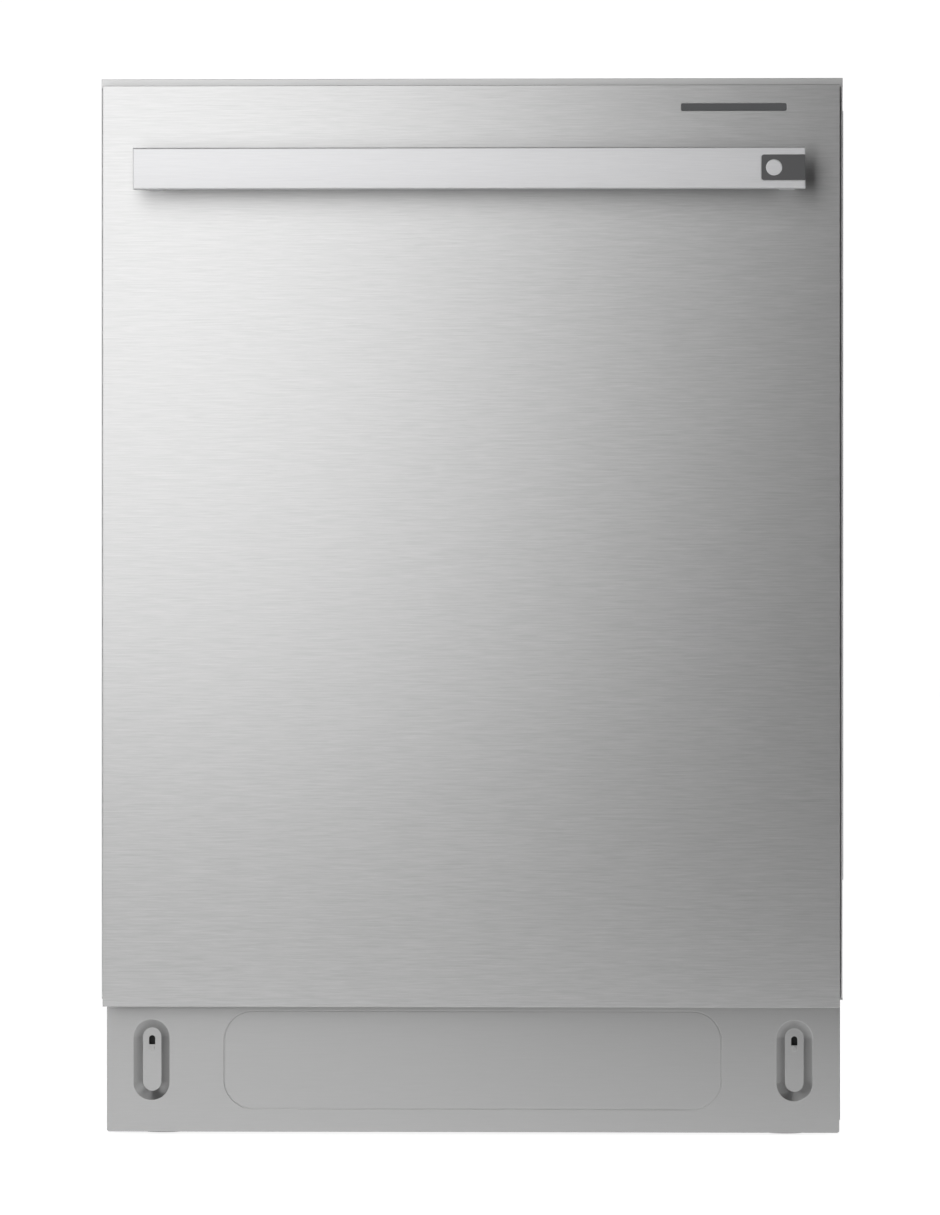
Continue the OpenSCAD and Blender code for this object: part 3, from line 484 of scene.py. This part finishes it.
class Rack:
    """The space that a rack's wires fill; its runners or axles stand out by outside."""

    def __init__(self, node, outside):
        low, high, _ = span(node)
        self.node = node
        self.half = high.x - outside
        self.front, self.rear = low.y, high.y
        self.floor, self.top = low.z, high.z

    def ys(self, count, front_margin, rear_margin):
        return steps(self.front + front_margin, self.rear - rear_margin, count)

    def basket(self, across, along, radius=WIRE):
        """Wires that run up one wall, over the floor and up the other, both ways."""
        side, front, rear = self.half - RIM, self.front + RIM, self.rear - RIM
        top, low, high = self.top - RIM, self.floor + WIRE, self.floor + LAYER
        paths = []
        for y in self.ys(across, ACROSS_MARGIN, ACROSS_MARGIN):
            paths.append(rounded([(-side, y, top), (-side, y, low), (side, y, low), (side, y, top)], BEND))
        for x in steps(ALONG_MARGIN - self.half, self.half - ALONG_MARGIN, along):
            paths.append(rounded([(x, front, top), (x, front, high), (x, rear, high), (x, rear, top)], BEND))
        wires(self.node + "_wires", paths, radius, self.node, "coated_wire", (self.node,))

    def rims(self, heights=()):
        """A rim round the top, and hoops inside the walls at heights above the floor."""
        hoops = [(self.top - RIM, 0.0)] + [(self.floor + height, RIM) for height in heights]
        paths = []
        for z, inset in hoops:
            x, front, rear = self.half - RIM - inset, self.front + RIM + inset, self.rear - RIM - inset
            corners = [(-x, front, z), (x, front, z), (x, rear, z), (-x, rear, z)]
            paths.append(rounded(corners, RIM_BEND, closed=True))
        wires(self.node + "_rims", paths, RIM, self.node, "coated_wire", closed=True)

    def tines(self, rows):
        """Plate holders: rows of hairpin wires that stand on the floor, each (x, ys, height, lean)."""
        floor = self.floor + LAYER
        paths = []
        for x, ys, height, lean in rows:
            tip = floor + height
            for a, b in zip(ys[::2], ys[1::2]):
                hairpin = [(x, a, floor), (x + lean, a, tip), (x + lean, b, tip), (x, b, floor)]
                paths.append(rounded(hairpin, TINE_BEND))
        wires(self.node + "_tines", paths, TINE, self.node, "coated_wire")

    def runners(self, z, strip, arm, pad=None):
        """Runners along the sides, on arms from the walls, each arm on a pad where pad is given.

        Each of them is its inner and outer reach from the wall, its half height and its bevel.
        """
        shape = Shape()

        def piece(side, size, ys):
            inner, outer, half_height, bevel = size
            xs = (side * (self.half + inner), side * (self.half + outer))
            shape.box(xs, ys, about(z, half_height), bevel)

        for side in (-1, 1):
            piece(side, strip, (self.front, self.rear))
            for y in self.ys(3, 0.04, 0.04):
                piece(side, arm, about(y, ARM_HALF))
                if pad:
                    piece(side, pad, about(y, PAD_HALF))
        shape.finish(self.node + "_runners", self.node, "grey_plastic")


def upper_rack():
    rack = Rack("upper_rack", outside=0.0177)
    rack.basket(across=15, along=17)
    rack.rims((0.045, 0.085))
    inner, outer = rack.ys(16, 0.05, 0.05), rack.ys(8, 0.06, 0.06)
    rows = [(x, inner, 0.055, 0.008) for x in (-0.118, -0.052, 0.052, 0.118)]
    rack.tines(rows + [(x, outer, 0.04, 0.0) for x in (-0.185, 0.185)])
    rack.runners(span("middle_rails")[2].z, strip=(0.0122, 0.0174, 0.0048, 0.0018),
                 arm=(-0.004, 0.0128, 0.0046, 0.0016), pad=(-0.0045, 0.0015, 0.014, 0.0015))


def cutlery_tray():
    rack = Rack("cutlery_tray", outside=0.0237)
    rack.basket(across=21, along=25, radius=WIRE * 0.8)
    rack.rims()
    comb_height, comb_gap, comb_margin = 0.013, 0.036, 0.03
    combs = []
    for side in (-1, 1):
        xs = steps(side * comb_gap, side * (rack.half - comb_margin), 21)
        for y in rack.ys(7, 0.045, 0.045):
            comb = [(x, y, rack.floor + LAYER + comb_height * (i % 2)) for i, x in enumerate(xs)]
            combs.append(rounded(comb, 0.004, pieces=3))
    wires("cutlery_tray_combs", combs, WIRE * 0.7, "cutlery_tray", "coated_wire")
    rack.runners(rack.floor + 0.024, strip=(0.0185, 0.0234, 0.0038, 0.0015),
                 arm=(-0.004, 0.019, 0.0036, 0.0014))


def lower_rack():
    rack = Rack("lower_rack", outside=0.017)
    rack.floor = span("cutlery_basket")[0].z - 0.0039
    rack.basket(across=15, along=17)
    rack.rims((0.040, 0.078))
    full, behind_basket = rack.ys(20, 0.04, 0.04), rack.ys(14, 0.16, 0.04)
    rows = [(x, full, 0.078, 0.010) for x in (-0.19, -0.14, -0.07, -0.02)]
    rack.tines(rows + [(x, behind_basket, 0.078, 0.010) for x in (0.07, 0.12, 0.19)])
    axle_r, head_r = 0.0039, 0.0062
    axle = [(0, 0.002), (axle_r, 0.002), (axle_r, 0.0145), (head_r, 0.0145), (head_r, 0.0160),
            (0.0050, 0.0169), (0, 0.0169)]
    half, floor = rack.half, rack.floor
    shape = Shape()
    for node in ("front_wheels", "rear_wheels"):
        mid = span(node)[2]
        for side in (-1, 1):
            plate = (side * (half + 0.0001), side * (half + 0.0032))
            shape.box(plate, about(mid.y, 0.010), (mid.z - 0.010, floor + 0.03), 0.0012)
            clamp = (side * (half - 0.0048), side * (half + 0.0030))
            shape.box(clamp, about(mid.y, 0.016), (floor + 0.014, floor + 0.034), 0.0018)
            shape.lathe(axle, (side * half, mid.y, mid.z), (side, 0, 0), 28)
    shape.finish("lower_rack_axles", "lower_rack", "grey_plastic")


def wheels(node):
    """Moulded wheels with a rim, a dished web, ribs and a hub."""
    low, high, mid = span(node)
    width, radius = 0.010, (high.z - low.z) / 2
    bore, hub, hub_root, web = 0.0042, 0.0072, 0.0076, 0.0032
    rim_in, rim_lip, chamfer = radius - 0.0040, radius - 0.0034, radius - 0.0010
    half_profile = [(bore, 0.0), (hub, 0.0), (hub_root, web), (rim_in, web), (rim_lip, 0.0004),
                    (chamfer, 0.0004), (radius, 0.0014)]
    profile = half_profile + [(r, width - along) for r, along in reversed(half_profile)]
    rib_ends, rib_half, rib_inset = (0.0070, radius - 0.0036), 0.0008, 0.0014
    shape = Shape()
    for side in (-1, 1):
        origin = Vector((side * (high.x - width), mid.y, mid.z))
        shape.lathe(profile, origin, (side, 0, 0), 48, closed=True)
        outer, inner = [Vector((side * d, 0, 0)) for d in (rib_inset, width - rib_inset)]
        for turn in turns(6):
            out = Vector((0, math.cos(turn), math.sin(turn)))
            aside = Vector((0, -math.sin(turn), math.cos(turn))) * rib_half
            corners = (outer + aside, outer - aside, inner - aside, inner + aside)
            shape.rings([[origin + out * r + corner for corner in corners] for r in rib_ends])
    shape.finish(node + "_moulded", node, "white_plastic", (node,))


def cutlery_basket():
    """Moulded lattice basket with four cells."""
    low, high, mid = span("cutlery_basket")
    wall, slat, rim, bevel = 0.0020, 0.0035, 0.0070, 0.0005
    xs, ys = (low.x, high.x), (low.y, high.y)
    bands = ((low.z, low.z + rim), about(mid.z, slat / 2), (high.z - rim, high.z))
    shape = Shape()
    for y in (low.y, mid.y - wall / 2, high.y - wall):
        for zs in bands:
            shape.box(xs, (y, y + wall), zs, bevel, 1)
        for x in steps(low.x, high.x - slat, 17):
            shape.box((x, x + slat), (y, y + wall), (low.z, high.z), bevel, 1)
    for x in (low.x, mid.x - wall / 2, high.x - wall):
        for zs in bands:
            shape.box((x, x + wall), ys, zs, bevel, 1)
        for y in steps(low.y, high.y - slat, 13):
            shape.box((x, x + wall), (y, y + slat), (low.z, high.z), bevel, 1)
    for x in steps(low.x, high.x - slat, 13):
        shape.box((x, x + slat), ys, (low.z, low.z + wall))
    for y in steps(low.y, high.y - slat, 9):
        shape.box(xs, (y, y + slat), (low.z, low.z + wall * 0.9))
    shape.finish("cutlery_basket_lattice", "cutlery_basket", "grey_plastic", ("cutlery_basket",))


# ---------- Spray arms, pumps and pipes ----------

def spray_arm(node, jets, hub_r, half_width, height):
    """A pressed hollow arm with a gentle sweep, crowned on top, with jets along it and a hub cap."""
    low, high, mid = span(node)
    reach, base, hub = (high.x - low.x) / 2, low.z, high.z - low.z
    tip_start, narrowing, lowering = 0.93, 0.30, 0.28

    def sweep(t):
        return 0.0035 * math.sin(math.pi * t)

    rings = []
    for t in [math.sin(math.pi / 2 * at) for at in steps(-1, 1, 61)]:
        tip = math.sqrt(max(0.0, 1 - max(0.0, (abs(t) - tip_start) / (1 - tip_start)) ** 2))
        width = half_width * (1 - narrowing * abs(t) ** 1.5) * max(tip, 0.12)
        tall = height * (1 - lowering * abs(t)) * (0.55 + 0.45 * tip)
        ring = []
        for turn in turns(20):
            c, s = math.cos(turn), math.sin(turn)
            y = width * math.copysign(abs(c) ** 0.7, c)
            z = tall * (0.38 + (0.62 if s > 0 else 0.38) * math.copysign(abs(s) ** 0.8, s))
            ring.append((mid.x + t * reach * 0.998, mid.y + sweep(t) + y, base + z))
        rings.append(ring)
    shape = Shape()
    shape.capped(rings)
    shape.lathe([(hub_r * 0.62, 0.0), (hub_r, 0.0015), (hub_r, height * 0.75), (hub_r * 0.86, hub - 0.0025),
                 (hub_r * 0.55, hub - 0.0004), (0, hub)], (mid.x, mid.y, base), (0, 0, 1), 48)
    shape.finish(node + "_pressed", node, "bright_stainless", (node,), crease=50)

    hole_r, lip_r, foot_r, sunk = 0.0011, 0.0034, 0.0040, -0.0006
    nozzle = [(hole_r, sunk), (hole_r, 0.0006), (0.0018, 0.0011), (lip_r, 0.0008), (foot_r, -0.0004),
              (foot_r, sunk)]
    shape = Shape()
    for t in jets:
        top = base + height * (1 - lowering * abs(t)) * 0.985
        shape.lathe(nozzle, (mid.x + t * reach, mid.y + sweep(t), top - 0.0006), (0, 0, 1), 20, closed=True)
    shape.finish(node + "_jets", node, "grey_plastic")


def pump(node, axis, front, chamber_r, chamber_l, motor_r, length, inlet_r):
    """A pump chamber with a flange and six screw bosses, then a finned motor."""
    body_r = chamber_r - 0.001
    flange = [chamber_l * share for share in (0.42, 0.44, 0.62, 0.64)]
    profile = [(0, 0.004), (inlet_r, 0.004), (inlet_r, 0.0), (inlet_r + 0.003, 0.0), (inlet_r + 0.004, 0.002),
               (chamber_r - 0.004, 0.002), (body_r, 0.004), (body_r, flange[0]), (chamber_r, flange[1]),
               (chamber_r, flange[2]), (body_r, flange[3]), (body_r, chamber_l - 0.002),
               (chamber_r - 0.003, chamber_l), (motor_r, chamber_l)]
    fin_pitch, fin_depth = 0.009, 0.002
    at = chamber_l + 0.006
    for _ in range(max(4, int((length - chamber_l - 0.02) / fin_pitch))):
        profile += [(motor_r, at), (motor_r, at + 0.004), (motor_r - fin_depth, at + 0.0045),
                    (motor_r - fin_depth, at + 0.0085)]
        at += fin_pitch
    profile += [(motor_r - 0.001, at), (motor_r - fin_depth, length - 0.004),
                (motor_r * 0.62, length - 0.002), (motor_r * 0.58, length), (0, length)]
    shape = Shape()
    shape.lathe(profile, front, axis, 64)
    _, u, v = square_to(axis)
    boss_r = 0.0030
    boss = [(0, 0.0005), (boss_r - 0.0004, 0.0005), (boss_r, 0.0020), (boss_r, chamber_l), (0, chamber_l)]
    for turn in turns(6, start=0.4):
        shape.lathe(boss, Vector(front) + (chamber_r - 0.0052) * spoke(u, v, turn), axis, 16)
    shape.finish(node + "_housing", "cabinet", "black_plastic", (node,))


def pumps():
    _, high, mid = span("circulation_pump")
    pump("circulation_pump", (-1, 0, 0), (high.x, mid.y, mid.z), chamber_r=0.042, chamber_l=0.032,
         motor_r=0.036, length=0.128, inlet_r=0.014)
    low, _, mid = span("drain_pump")
    pump("drain_pump", (0, 1, 0), (mid.x, low.y, mid.z), chamber_r=0.030, chamber_l=0.024,
         motor_r=0.024, length=0.080, inlet_r=0.008)


def springs():
    """Close-wound tension springs with a hook at either end."""
    low, high, mid = span("door_springs")
    wire, winding, lead, hook_r, hook_y = 0.00125, 0.0029, 0.010, 0.0045, 0.0060
    outer_r = (high.z - low.z) / 2
    radius = outer_r - 0.0013
    y0, y1 = low.y + lead, high.y - lead
    rounds = int((y1 - y0) / winding)
    hook = steps(0, math.pi * 1.5, 9)
    paths = []
    for side in (-1, 1):
        x = side * (high.x - outer_r)
        coil = []
        for k in range(16 * rounds + 1):
            turn = 2 * math.pi * k / 16
            y = y0 + (y1 - y0) * k / (16 * rounds)
            coil.append((x + radius * math.cos(turn), y, mid.z + radius * math.sin(turn)))
        start = [(x, low.y + hook_y - hook_r * math.cos(a), mid.z - hook_r * math.sin(a)) for a in hook]
        end = [(x, high.y - hook_y + hook_r * math.cos(a), mid.z - hook_r * math.sin(a)) for a in hook]
        paths.append(start + coil + end[::-1])
    wires("door_springs_wound", paths, wire, "cabinet", "spring_steel", ("door_springs",))


def feet():
    """Levelling feet: a ribbed pad, a hexagon to turn it by, and a threaded stem."""
    hexagon = [(0, 0.0068), (0.0080, 0.0068), (0.0085, 0.0074), (0.0085, 0.0106), (0.0080, 0.0112),
               (0, 0.0112)]
    rib_foot, rib_half, stem_z = 0.003, 0.0008, 0.010
    for node in ("front_foot_left", "front_foot_right", "rear_feet"):
        low, high, mid = span(node)
        radius = (high.y - low.y) / 2
        pad = [(0, 0), (radius - 0.0015, 0), (radius, 0.0012), (radius, 0.0030), (radius - 0.003, 0.0048),
               (radius * 0.55, 0.0062), (radius * 0.45, 0.0070), (0, 0.0070)]
        rib_ends = ((radius * 0.40, 0.0078), (radius - 0.0022, 0.0046))
        shape = Shape()
        for x in ((low.x + radius, high.x - radius) if node == "rear_feet" else (mid.x,)):
            shape.lathe(pad, (x, mid.y, 0), (0, 0, 1), 48)
            for turn in turns(8):
                out = Vector((math.cos(turn), math.sin(turn), 0))
                aside = Vector((-math.sin(turn), math.cos(turn), 0)) * rib_half
                ends = []
                for r, top in rib_ends:
                    foot, head = [Vector((x, mid.y, z)) + out * r for z in (rib_foot, top)]
                    ends.append([foot + aside, foot - aside, head - aside, head + aside])
                shape.rings(ends)
            shape.lathe(hexagon, (x, mid.y, 0), (0, 0, 1), 6)
            shape.thread((x, mid.y, stem_z), (0, 0, 1), radius=0.0049, length=high.z - stem_z, pitch=0.0018,
                         depth=0.0009)
        shape.finish(node + "_threaded", node, "foot_plastic", (node,))


def drain_stub():
    """The barbed stub that a drain hose is clamped on, with its flange, foot and gussets."""
    low, high, mid = span("drain_outlet")
    length = high.y - low.y
    bore, stub_r, neck_r, flange_r, flange_t = 0.0070, 0.010, 0.0090, 0.017, 0.006
    barb_start, barb_pitch = 0.030, 0.008
    centre_z = high.z - flange_r
    profile = [(bore, 0.0), (flange_r - 0.001, 0.0), (flange_r, 0.001), (flange_r, flange_t - 0.001),
               (flange_r - 0.001, flange_t), (stub_r + 0.002, flange_t), (neck_r, flange_t + 0.002),
               (neck_r, barb_start)]
    for k in range(3):
        at = barb_start + barb_pitch * k
        profile += [(stub_r, at), (stub_r, at + 0.001), (0.0088, at + 0.0078)]
    profile += [(0.0095, length - 0.0035), (0.0088, length), (bore, length)]
    shape = Shape()
    shape.lathe(profile, (mid.x, low.y, centre_z), (0, 1, 0), 40, closed=True)
    shape.box(about(mid.x, 0.010), (low.y, low.y + flange_t), (low.z, centre_z - 0.014), 0.0012)
    for side in (-1, 1):
        gusset = about(mid.x + side * 0.008, 0.001)
        shape.box(gusset, (low.y + 0.002, low.y + 0.020), (low.z, low.z + 0.020), 0.0006)
    shape.finish("drain_outlet_barbed", "cabinet", "black_plastic", ("drain_outlet",))


def water_valve():
    """The inlet valve: its foot, body, coil, hexagon and threaded inlet, and two terminals."""
    low, high, mid = span("inlet_valve")
    inlet_l, inlet_r, foot_t = 0.020, 0.0132, 0.004
    face_y = high.y - inlet_l
    inlet_z = high.z - inlet_r - 0.003
    hexagon = [(0, 0), (0.0215, 0), (0.0225, 0.001), (0.0225, 0.0035), (0.0140, 0.0045), (0, 0.0045)]
    shape = Shape()
    shape.box((low.x, high.x), (low.y + 0.010, face_y), (low.z, low.z + foot_t), 0.001)
    shape.box(about(mid.x, 0.016), (low.y + 0.006, face_y - 0.004), (low.z + foot_t, high.z), 0.004, 3)
    coil_xs, coil_ys = (low.x + 0.003, high.x - 0.003), (low.y + 0.004, low.y + 0.024)
    shape.box(coil_xs, coil_ys, (low.z + 0.010, high.z - 0.022), 0.003, 3)
    shape.lathe(hexagon, (mid.x, face_y - 0.0045, inlet_z - 0.004), (0, 1, 0), 6)
    shape.thread((mid.x, face_y, inlet_z), (0, 1, 0), radius=inlet_r, length=inlet_l, pitch=0.0021,
                 depth=0.0012, bore=0.0092, sides=40)
    for side in (-1, 1):
        terminal = about(mid.x + side * 0.010, 0.0032)
        shape.box(terminal, (low.y, low.y + 0.006), (high.z - 0.040, high.z - 0.038))
    shape.finish("inlet_valve_moulded", "cabinet", "white_plastic", ("inlet_valve",))


def feed_tube():
    """Collars on the tube under the upper rack."""
    _, high, mid = span("rack_feed_tube")
    radius, wall = 0.009, 0.0016
    collar = [(radius, 0), (radius + wall, 0.001), (radius + wall, 0.006), (radius, 0.007)]
    shape = Shape()
    for y in steps(mid.y - 0.05, high.y - 0.015, 3):
        shape.lathe(collar, (mid.x, y, high.z - radius), (0, 1, 0), 32, closed=True)
    shape.finish("feed_tube_collars", "upper_rack", "grey_plastic")


# ---------- Pressed details ----------

SUNK = 0.0003            # how far a bead's edge lies below the sheet
HALF_TURN = steps(0, math.pi, 7)


def pressed_bead(shape, points, radius, flat):
    """A low half-round rib along a straight run; flat is the direction it stands out in."""
    flat = Vector(flat)
    aside = (Vector(points[-1]) - Vector(points[0])).normalized().cross(flat)
    shape.capped([[Vector(point) + aside * radius * math.cos(a) * 1.8 + flat * (radius * math.sin(a) - SUNK)
                   for a in HALF_TURN] for point in points])


def tub_ribs():
    """Ribs along the tub's side walls between the racks, up its back and along its ceiling."""
    low, high, _ = span("tub_sides")
    back, ceiling = span("tub_back")[0].y, span("tub_ceiling")[0].z
    sheet, side_rib, wide_rib = 0.001, 0.0022, 0.0024
    shape = Shape()
    for side in (-1, 1):
        wall = side * (high.x - sheet)
        for z in (0.335, 0.375, 0.415):
            run = [(wall, y, z) for y in steps(low.y + 0.06, high.y - 0.05, 24)]
            pressed_bead(shape, run, side_rib, (-side, 0, 0))
    for x in (-0.20, -0.13, 0.13, 0.20):
        pressed_bead(shape, [(x, back, z) for z in steps(0.34, 0.74, 24)], wide_rib, (0, -1, 0))
    for x in (-0.21, -0.14, 0.14, 0.21):
        run = [(x, y, ceiling) for y in steps(low.y + 0.07, high.y - 0.05, 20)]
        pressed_bead(shape, run, wide_rib, (0, 0, -1))
    shape.finish("tub_ribs", "cabinet", "bright_stainless", crease=60)


def liner_rib():
    """The rib that runs round the door's inner face."""
    low, high, _ = span("door_inner_panel")
    half, z0, z1, face = 0.235, low.z + 0.06, high.z - 0.085, high.y
    rib_half, rib_height = 0.0045, 0.0016
    loop = rounded([(-half, face, z0), (half, face, z0), (half, face, z1), (-half, face, z1)], 0.04, True, 8)
    rings = []
    for i, point in enumerate(loop):
        ahead = (loop[(i + 1) % len(loop)] - loop[i - 1]).normalized()
        aside = ahead.cross(Vector((0, 1, 0)))
        rings.append([point + aside * rib_half * math.cos(a) + Vector((0, rib_height * math.sin(a) - SUNK, 0))
                      for a in HALF_TURN])
    shape = Shape()
    shape.rings(rings, closed=True)
    shape.finish("liner_rib", "door", "bright_stainless", crease=60)


def frame_beads():
    """Rolled bright edges down the sides of the front frame."""
    low, high, _ = span("front_frame")
    radius = 0.0011
    ends = (low.z + 0.002, high.z - 0.0075)
    paths = [[(side * (high.x - radius), low.y, z) for z in ends] for side in (-1, 1)]
    wires("frame_side_beads", paths, radius, "cabinet", "bright_stainless")


# ---------- Fasteners ----------

def screw_heads(name, body, places, normal, radius):
    """Pan heads with a cross in relief, seated on a surface."""
    normal, u, v = square_to(normal)
    head = [(0, -0.0004), (radius, -0.0004), (radius, 0.0006), (radius * 0.90, 0.0013),
            (radius * 0.62, 0.0018), (radius * 0.24, 0.0019), (radius * 0.20, 0.0007), (0, 0.0006)]
    bar_half, bar_low, bar_high, bar_reach = 0.0004, 0.0008, 0.00193, radius * 0.55
    corners = ((-bar_half, bar_low), (bar_half, bar_low), (bar_half, bar_high), (-bar_half, bar_high))
    shape = Shape()
    for spot in places:
        spot = Vector(spot)
        shape.lathe(head, spot, normal, 24)
        for a, b in ((u, v), (v, u)):
            shape.rings([[spot + a * reach + b * aside + normal * up for aside, up in corners]
                         for reach in (-bar_reach, bar_reach)])
    shape.finish(name, body, "spring_steel")


def liner_screws():
    low, high, _ = span("door_inner_panel")
    flange_y = span("door_outer_panel")[1].y + 0.0012
    places = [(side * (high.x - 0.010), flange_y, z) for side in (-1, 1)
              for z in steps(low.z + 0.06, high.z - 0.05, 5)]
    screw_heads("liner_screws", "door", places, (0, 1, 0), 0.0034)


def back_rivets():
    low, high, _ = span("back_panel")
    y = high.y - 0.0004
    heights = steps(low.z + 0.02, high.z - 0.02, 6)
    places = [(x, y, z) for x in (low.x + 0.008, high.x - 0.008) for z in heights]
    places += [(x, y, high.z - 0.010) for x in steps(low.x + 0.12, high.x - 0.12, 3)]
    rivet = [(0, -0.0006), (0.0045, -0.0006), (0.0045, 0), (0.0040, 0.00035), (0, 0.0004)]
    shape = Shape()
    for spot in places:
        shape.lathe(rivet, spot, (0, 1, 0), 20)
    shape.finish("back_panel_rivets", "cabinet", "galvanised")


def box_screws():
    low, high, _ = span("power_box")
    inset = 0.010
    xs, ys = (low.x + inset, high.x - inset), (low.y + inset, high.y - inset)
    places = [(x, y, high.z) for x in xs for y in ys]
    screw_heads("power_box_screws", "cabinet", places, (0, 0, 1), 0.0030)


def module_ribs():
    """Cooling ribs on the control module's lid and plugs along its front."""
    low, high, _ = span("control_module")
    rib_xs, rib_zs = (low.x + 0.015, high.x - 0.015), (high.z - 0.0004, high.z + 0.0010)
    plug_ys, plug_zs = (low.y - 0.0035, low.y + 0.001), (low.z + 0.008, low.z + 0.022)
    shape = Shape()
    for y in steps(low.y + 0.012, high.y - 0.012, 9):
        shape.box(rib_xs, about(y, 0.0012), rib_zs, 0.0004)
    for x in steps(low.x + 0.02, high.x - 0.02, 4):
        shape.box(about(x, 0.007), plug_ys, plug_zs, 0.0012)
    shape.finish("control_module_ribs", "cabinet", "black_plastic")


def lid_grip():
    """Grip ribs on the detergent lid."""
    low, high, mid = span("detergent_lid")
    xs, ys = (low.x + 0.012, low.x + 0.030), (high.y - 0.0006, high.y + 0.0012)
    shape = Shape()
    for z in steps(mid.z - 0.016, mid.z + 0.016, 6):
        shape.box(xs, ys, about(z, 0.0011), 0.0006)
    shape.finish("detergent_lid_grip", "detergent_lid", "grey_plastic")


upper_rack()
cutlery_tray()
lower_rack()
wheels("front_wheels")
wheels("rear_wheels")
cutlery_basket()
spray_arm("lower_spray_arm", (-0.92, -0.78, -0.62, -0.45, -0.28, 0.22, 0.36, 0.54, 0.70, 0.86),
          hub_r=0.026, half_width=0.0150, height=0.0115)
spray_arm("mid_spray_arm", (-0.90, -0.72, -0.52, -0.32, 0.26, 0.44, 0.62, 0.82),
          hub_r=0.020, half_width=0.0130, height=0.0105)
pumps()
springs()
feet()
drain_stub()
water_valve()
feed_tube()
tub_ribs()
liner_rib()
frame_beads()
liner_screws()
back_rivets()
box_screws()
module_ribs()
lid_grip()


# ---------- Floor, light and camera ----------

DOOR_Y = span("door_outer_panel")[0].y
FRAME_HEIGHT = 0.9817    # height of the picture at the door's face
CAMERA_DISTANCE = 6.0
CAMERA_YAW = math.radians(1.7)
SENSOR = 36.0
VIEW_POINT = Vector((-0.0006, DOOR_Y, 0.4300))

# Each is the strength at either end, then where along +Y it starts and ends
FLOOR_GLOW = (0.0, 0.88, -1.12, -1.03)
FLOOR_FADE = (0.0, 1.0, -1.6, -1.0)
WORLD_GLOW = (0.03, 1.05, 0.55, 0.85)


def pale_floor():
    """A round floor that glows from just in front of the machine to the rear, and is darker nearer by."""
    n = Nodes("pale_floor")
    n.set(Roughness=0.85, Emission_Color=(1, 1, 1, 1))
    where = n.add("SeparateXYZ")
    n.link(n.coords(), where.inputs["Vector"])
    pale = n.mix(n.noise(scale=3, detail=3, rough=0.5), grey(0.78), grey(0.81))
    fade = n.remap(where.outputs["Y"], *FLOOR_FADE, curve="SMOOTHSTEP")
    n.drive(Base_Color=n.mix(fade, grey(0.22), pale),
            Emission_Strength=n.remap(where.outputs["Y"], *FLOOR_GLOW, curve="SMOOTHSTEP"))
    mesh = bpy.data.meshes.new("floor")
    mesh.from_pydata([(40 * math.cos(a), 40 * math.sin(a), 0) for a in turns(96)], [], [tuple(range(96))])
    mesh.materials.append(n.mat)
    floor = bpy.data.objects.new("floor", mesh)
    scene.collection.objects.link(floor)


def surround():
    """A world that is bright behind the machine and dark in front of it."""
    world = bpy.data.worlds.new("studio")
    scene.world = world
    world.use_nodes = True
    tree = world.node_tree
    where = tree.nodes.new("ShaderNodeTexCoord")
    split = tree.nodes.new("ShaderNodeSeparateXYZ")
    glow = tree.nodes.new("ShaderNodeMapRange")
    for key, value in zip(("To Min", "To Max", "From Min", "From Max"), WORLD_GLOW):
        glow.inputs[key].default_value = value
    background = tree.nodes["Background"]
    background.inputs["Color"].default_value = (1, 1, 1, 1)
    tree.links.new(where.outputs["Generated"], split.inputs["Vector"])
    tree.links.new(split.outputs["Y"], glow.inputs["Value"])
    tree.links.new(glow.outputs["Result"], background.inputs["Strength"])


def area_light(name, place, target, size, power):
    light = bpy.data.lights.new(name, "AREA")
    light.shape = "RECTANGLE"
    light.size, light.size_y = size
    light.energy = power
    lamp = bpy.data.objects.new(name, light)
    lamp.location = place
    lamp.rotation_euler = (Vector(target) - Vector(place)).to_track_quat("-Z", "Y").to_euler()
    scene.collection.objects.link(lamp)


def camera():
    data = bpy.data.cameras.new("camera")
    data.sensor_width = SENSOR
    data.lens = SENSOR * CAMERA_DISTANCE / FRAME_HEIGHT
    data.clip_end = 100
    rig = bpy.data.objects.new("camera", data)
    rig.location = VIEW_POINT + CAMERA_DISTANCE * Vector((math.sin(CAMERA_YAW), -math.cos(CAMERA_YAW), 0))
    rig.rotation_euler = (VIEW_POINT - rig.location).to_track_quat("-Z", "Y").to_euler()
    scene.collection.objects.link(rig)
    scene.camera = rig


pale_floor()
surround()
area_light("key", (-0.49, -2.2, 1.02), target=(-0.25, DOOR_Y, 0.72), size=(1.0, 1.6), power=15.5)
area_light("top", (0, 0.2, 2.6), target=(0, 0, 0.5), size=(2.4, 2.4), power=4)
area_light("left", (-2.4, -0.3, 0.9), target=(0, -0.1, 0.5), size=(1.2, 2.0), power=2.5)
area_light("right", (2.2, -1.5, 0.7), target=(0.3, -0.2, 0.4), size=(0.9, 1.6), power=6)
camera()
